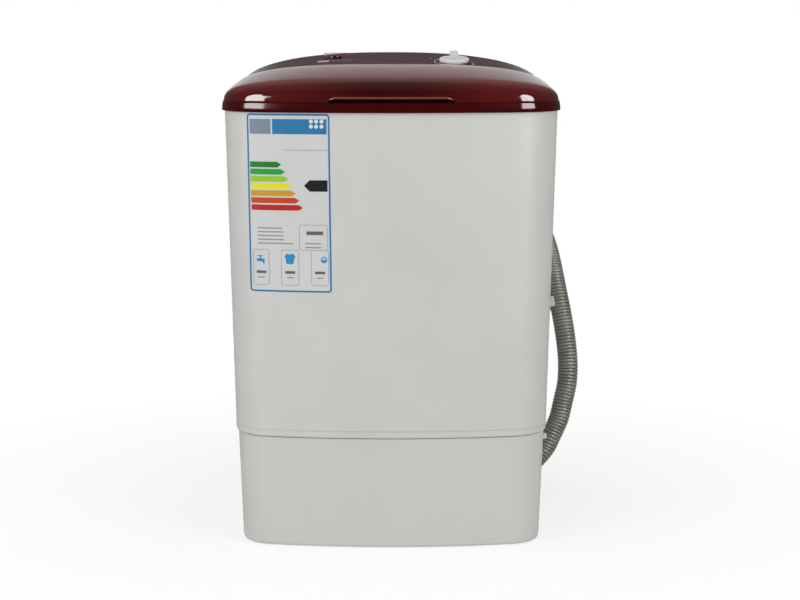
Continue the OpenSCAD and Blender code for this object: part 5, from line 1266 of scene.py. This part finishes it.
# What polished faces mirror: pale low behind the object, dimmer aside and above, dark before it
studioSetup = {
    "diffuse": 0.52, "behind": 0.72, "aside": 0.1, "above": 0.12, "before": 0.02, "topAt": 0.22,
    "asideFrom": -0.6, "asideTo": 0.0, "behindFrom": 0.93, "behindTo": 0.985,
}
lightWhite = (1, 1, 1, 1)


# Pale floor that keeps the object's shadow and fades into the white background
def makeFloor():
    material, tree, shader, place = newMaterial("studioFloor")
    f, s = floorSetup, studioSetup
    setInputs(tree, shader, {"Base Color": opaque(f["tone"]), "Roughness": f["rough"]})
    distance = addNode(tree, "ShaderNodeVectorMath", {0: place}, operation="LENGTH").outputs["Value"]
    fade = ranged(tree, distance, f["nearShare"], 1, f["fadeFrom"], f["fadeTo"])
    seen = addNode(tree, "ShaderNodeLightPath").outputs
    shown = mathOf(tree, "MAXIMUM", seen["Is Camera Ray"], seen["Is Glossy Ray"])
    backward = partsOf(tree, place)["Y"]
    mirrored = ranged(tree, backward, s["before"], s["aside"], f["mirrorFrom"], f["mirrorTo"])
    strength = mixValues(tree, seen["Is Glossy Ray"], 1.0, mirrored)
    glow = addNode(tree, "ShaderNodeEmission", {"Color": lightWhite, "Strength": strength})
    inputs = {0: mixValues(tree, shown, 0.0, fade), 1: shader.outputs["BSDF"], 2: glow.outputs["Emission"]}
    mixed = addNode(tree, "ShaderNodeMixShader", inputs)
    setInputs(tree, nodeOf(tree, "OUTPUT_MATERIAL"), {"Surface": mixed.outputs[0]})
    bpy.ops.mesh.primitive_plane_add(size=f["size"], location=(0, 0, 0))
    floor = bpy.context.object
    floor.name = "studioFloor"
    floor.data.materials.append(material)


def makeWorld():
    s = studioSetup
    world = bpy.data.worlds.new("studioAir")
    bpy.context.scene.world = world
    world.use_nodes = True
    tree = world.node_tree
    tree.nodes.clear()
    parts = partsOf(tree, addNode(tree, "ShaderNodeTexCoord").outputs["Generated"])
    flat = addNode(tree, "ShaderNodeCombineXYZ", {"X": parts["X"], "Y": parts["Y"]}).outputs[0]
    level = addNode(tree, "ShaderNodeVectorMath", {0: flat}, operation="NORMALIZE").outputs[0]
    backward = partsOf(tree, level)["Y"]
    behind = ranged(tree, backward, 0, 1, s["behindFrom"], s["behindTo"])
    aside = ranged(tree, backward, 0, 1, s["asideFrom"], s["asideTo"])
    raised = ranged(tree, parts["Z"], 0, 1, 0, s["topAt"])
    mirrored = mixValues(tree, raised, mixValues(tree, behind, s["aside"], s["behind"]), s["above"])
    mirrored = mixValues(tree, aside, s["before"], mirrored)
    seen = addNode(tree, "ShaderNodeLightPath").outputs
    background = mathOf(tree, "MAXIMUM", seen["Is Camera Ray"], seen["Is Transmission Ray"])
    plain = mixValues(tree, background, s["diffuse"], 1.0)
    strength = mixValues(tree, seen["Is Glossy Ray"], plain, mirrored)
    air = addNode(tree, "ShaderNodeBackground", {"Color": lightWhite, "Strength": strength})
    addNode(tree, "ShaderNodeOutputWorld", {"Surface": air.outputs["Background"]})


# Soft lamps give the light; the cards stand for their fronts and are seen in polished faces alone
lamps = {
    "leftSoftbox": {"place": (-1.9, -1.7, 1.3), "aim": (0, 0, 0.4), "size": (1.4, 1.6), "power": 20.0},
    "rightSoftbox": {"place": (1.9, -1.7, 1.3), "aim": (0, 0, 0.4), "size": (1.2, 1.6), "power": 17.4},
    "overhead": {"place": (0, -0.4, 2.6), "aim": (0, 0, 0.4), "size": (2.0, 1.6), "power": 12.6},
}
# A card's cut takes off its upper corner nearer the camera, by (aside, down)
cards = {
    "leftCard": {"place": (-1.60, -1.56, 1.90), "aim": (-0.16, -0.17, 1.90), "size": (1.55, 2.56), "glow": 17,
                 "innerCut": (-0.62, 1.5)},
    "rightCard": {"place": (1.55, -1.61, 1.90), "aim": (0.16, -0.17, 1.90), "size": (1.05, 2.56), "glow": 17,
                  "innerCut": (0.45, 1.5)},
}


def setInPlace(obj, s):
    obj.location = s["place"]
    obj.rotation_euler = (Vector(s["aim"]) - Vector(s["place"])).to_track_quat("-Z", "Y").to_euler()


def makeLamps():
    for name, s in lamps.items():
        data = bpy.data.lights.new(name, "AREA")
        data.shape = "RECTANGLE"
        data.size, data.size_y = s["size"]
        data.energy = s["power"]
        lamp = bpy.data.objects.new(name, data)
        setInPlace(lamp, s)
        lamp.visible_glossy = False
        bpy.context.collection.objects.link(lamp)


def makeCards():
    for name, s in cards.items():
        material, tree, shader, place = newMaterial(name)
        glow = addNode(tree, "ShaderNodeEmission", {"Color": lightWhite, "Strength": s["glow"]})
        setInputs(tree, nodeOf(tree, "OUTPUT_MATERIAL"), {"Surface": glow.outputs["Emission"]})
        w, h = (c / 2 for c in s["size"])
        aside, down = s["innerCut"]
        inner = w if aside < 0 else -w
        outline = [(-inner, -h), (inner, -h), (inner, h - down), (inner + aside, h), (-inner, h)]
        shape = bmesh.new()
        shape.faces.new([shape.verts.new((x, y, 0)) for x, y in outline])
        card = toObject(shape, name, material)
        setInPlace(card, s)
        for kind in ("camera", "diffuse", "transmission", "volume_scatter", "shadow"):
            setattr(card, "visible_" + kind, False)


makeFloor()
makeWorld()
makeLamps()
makeCards()
print("stage set")
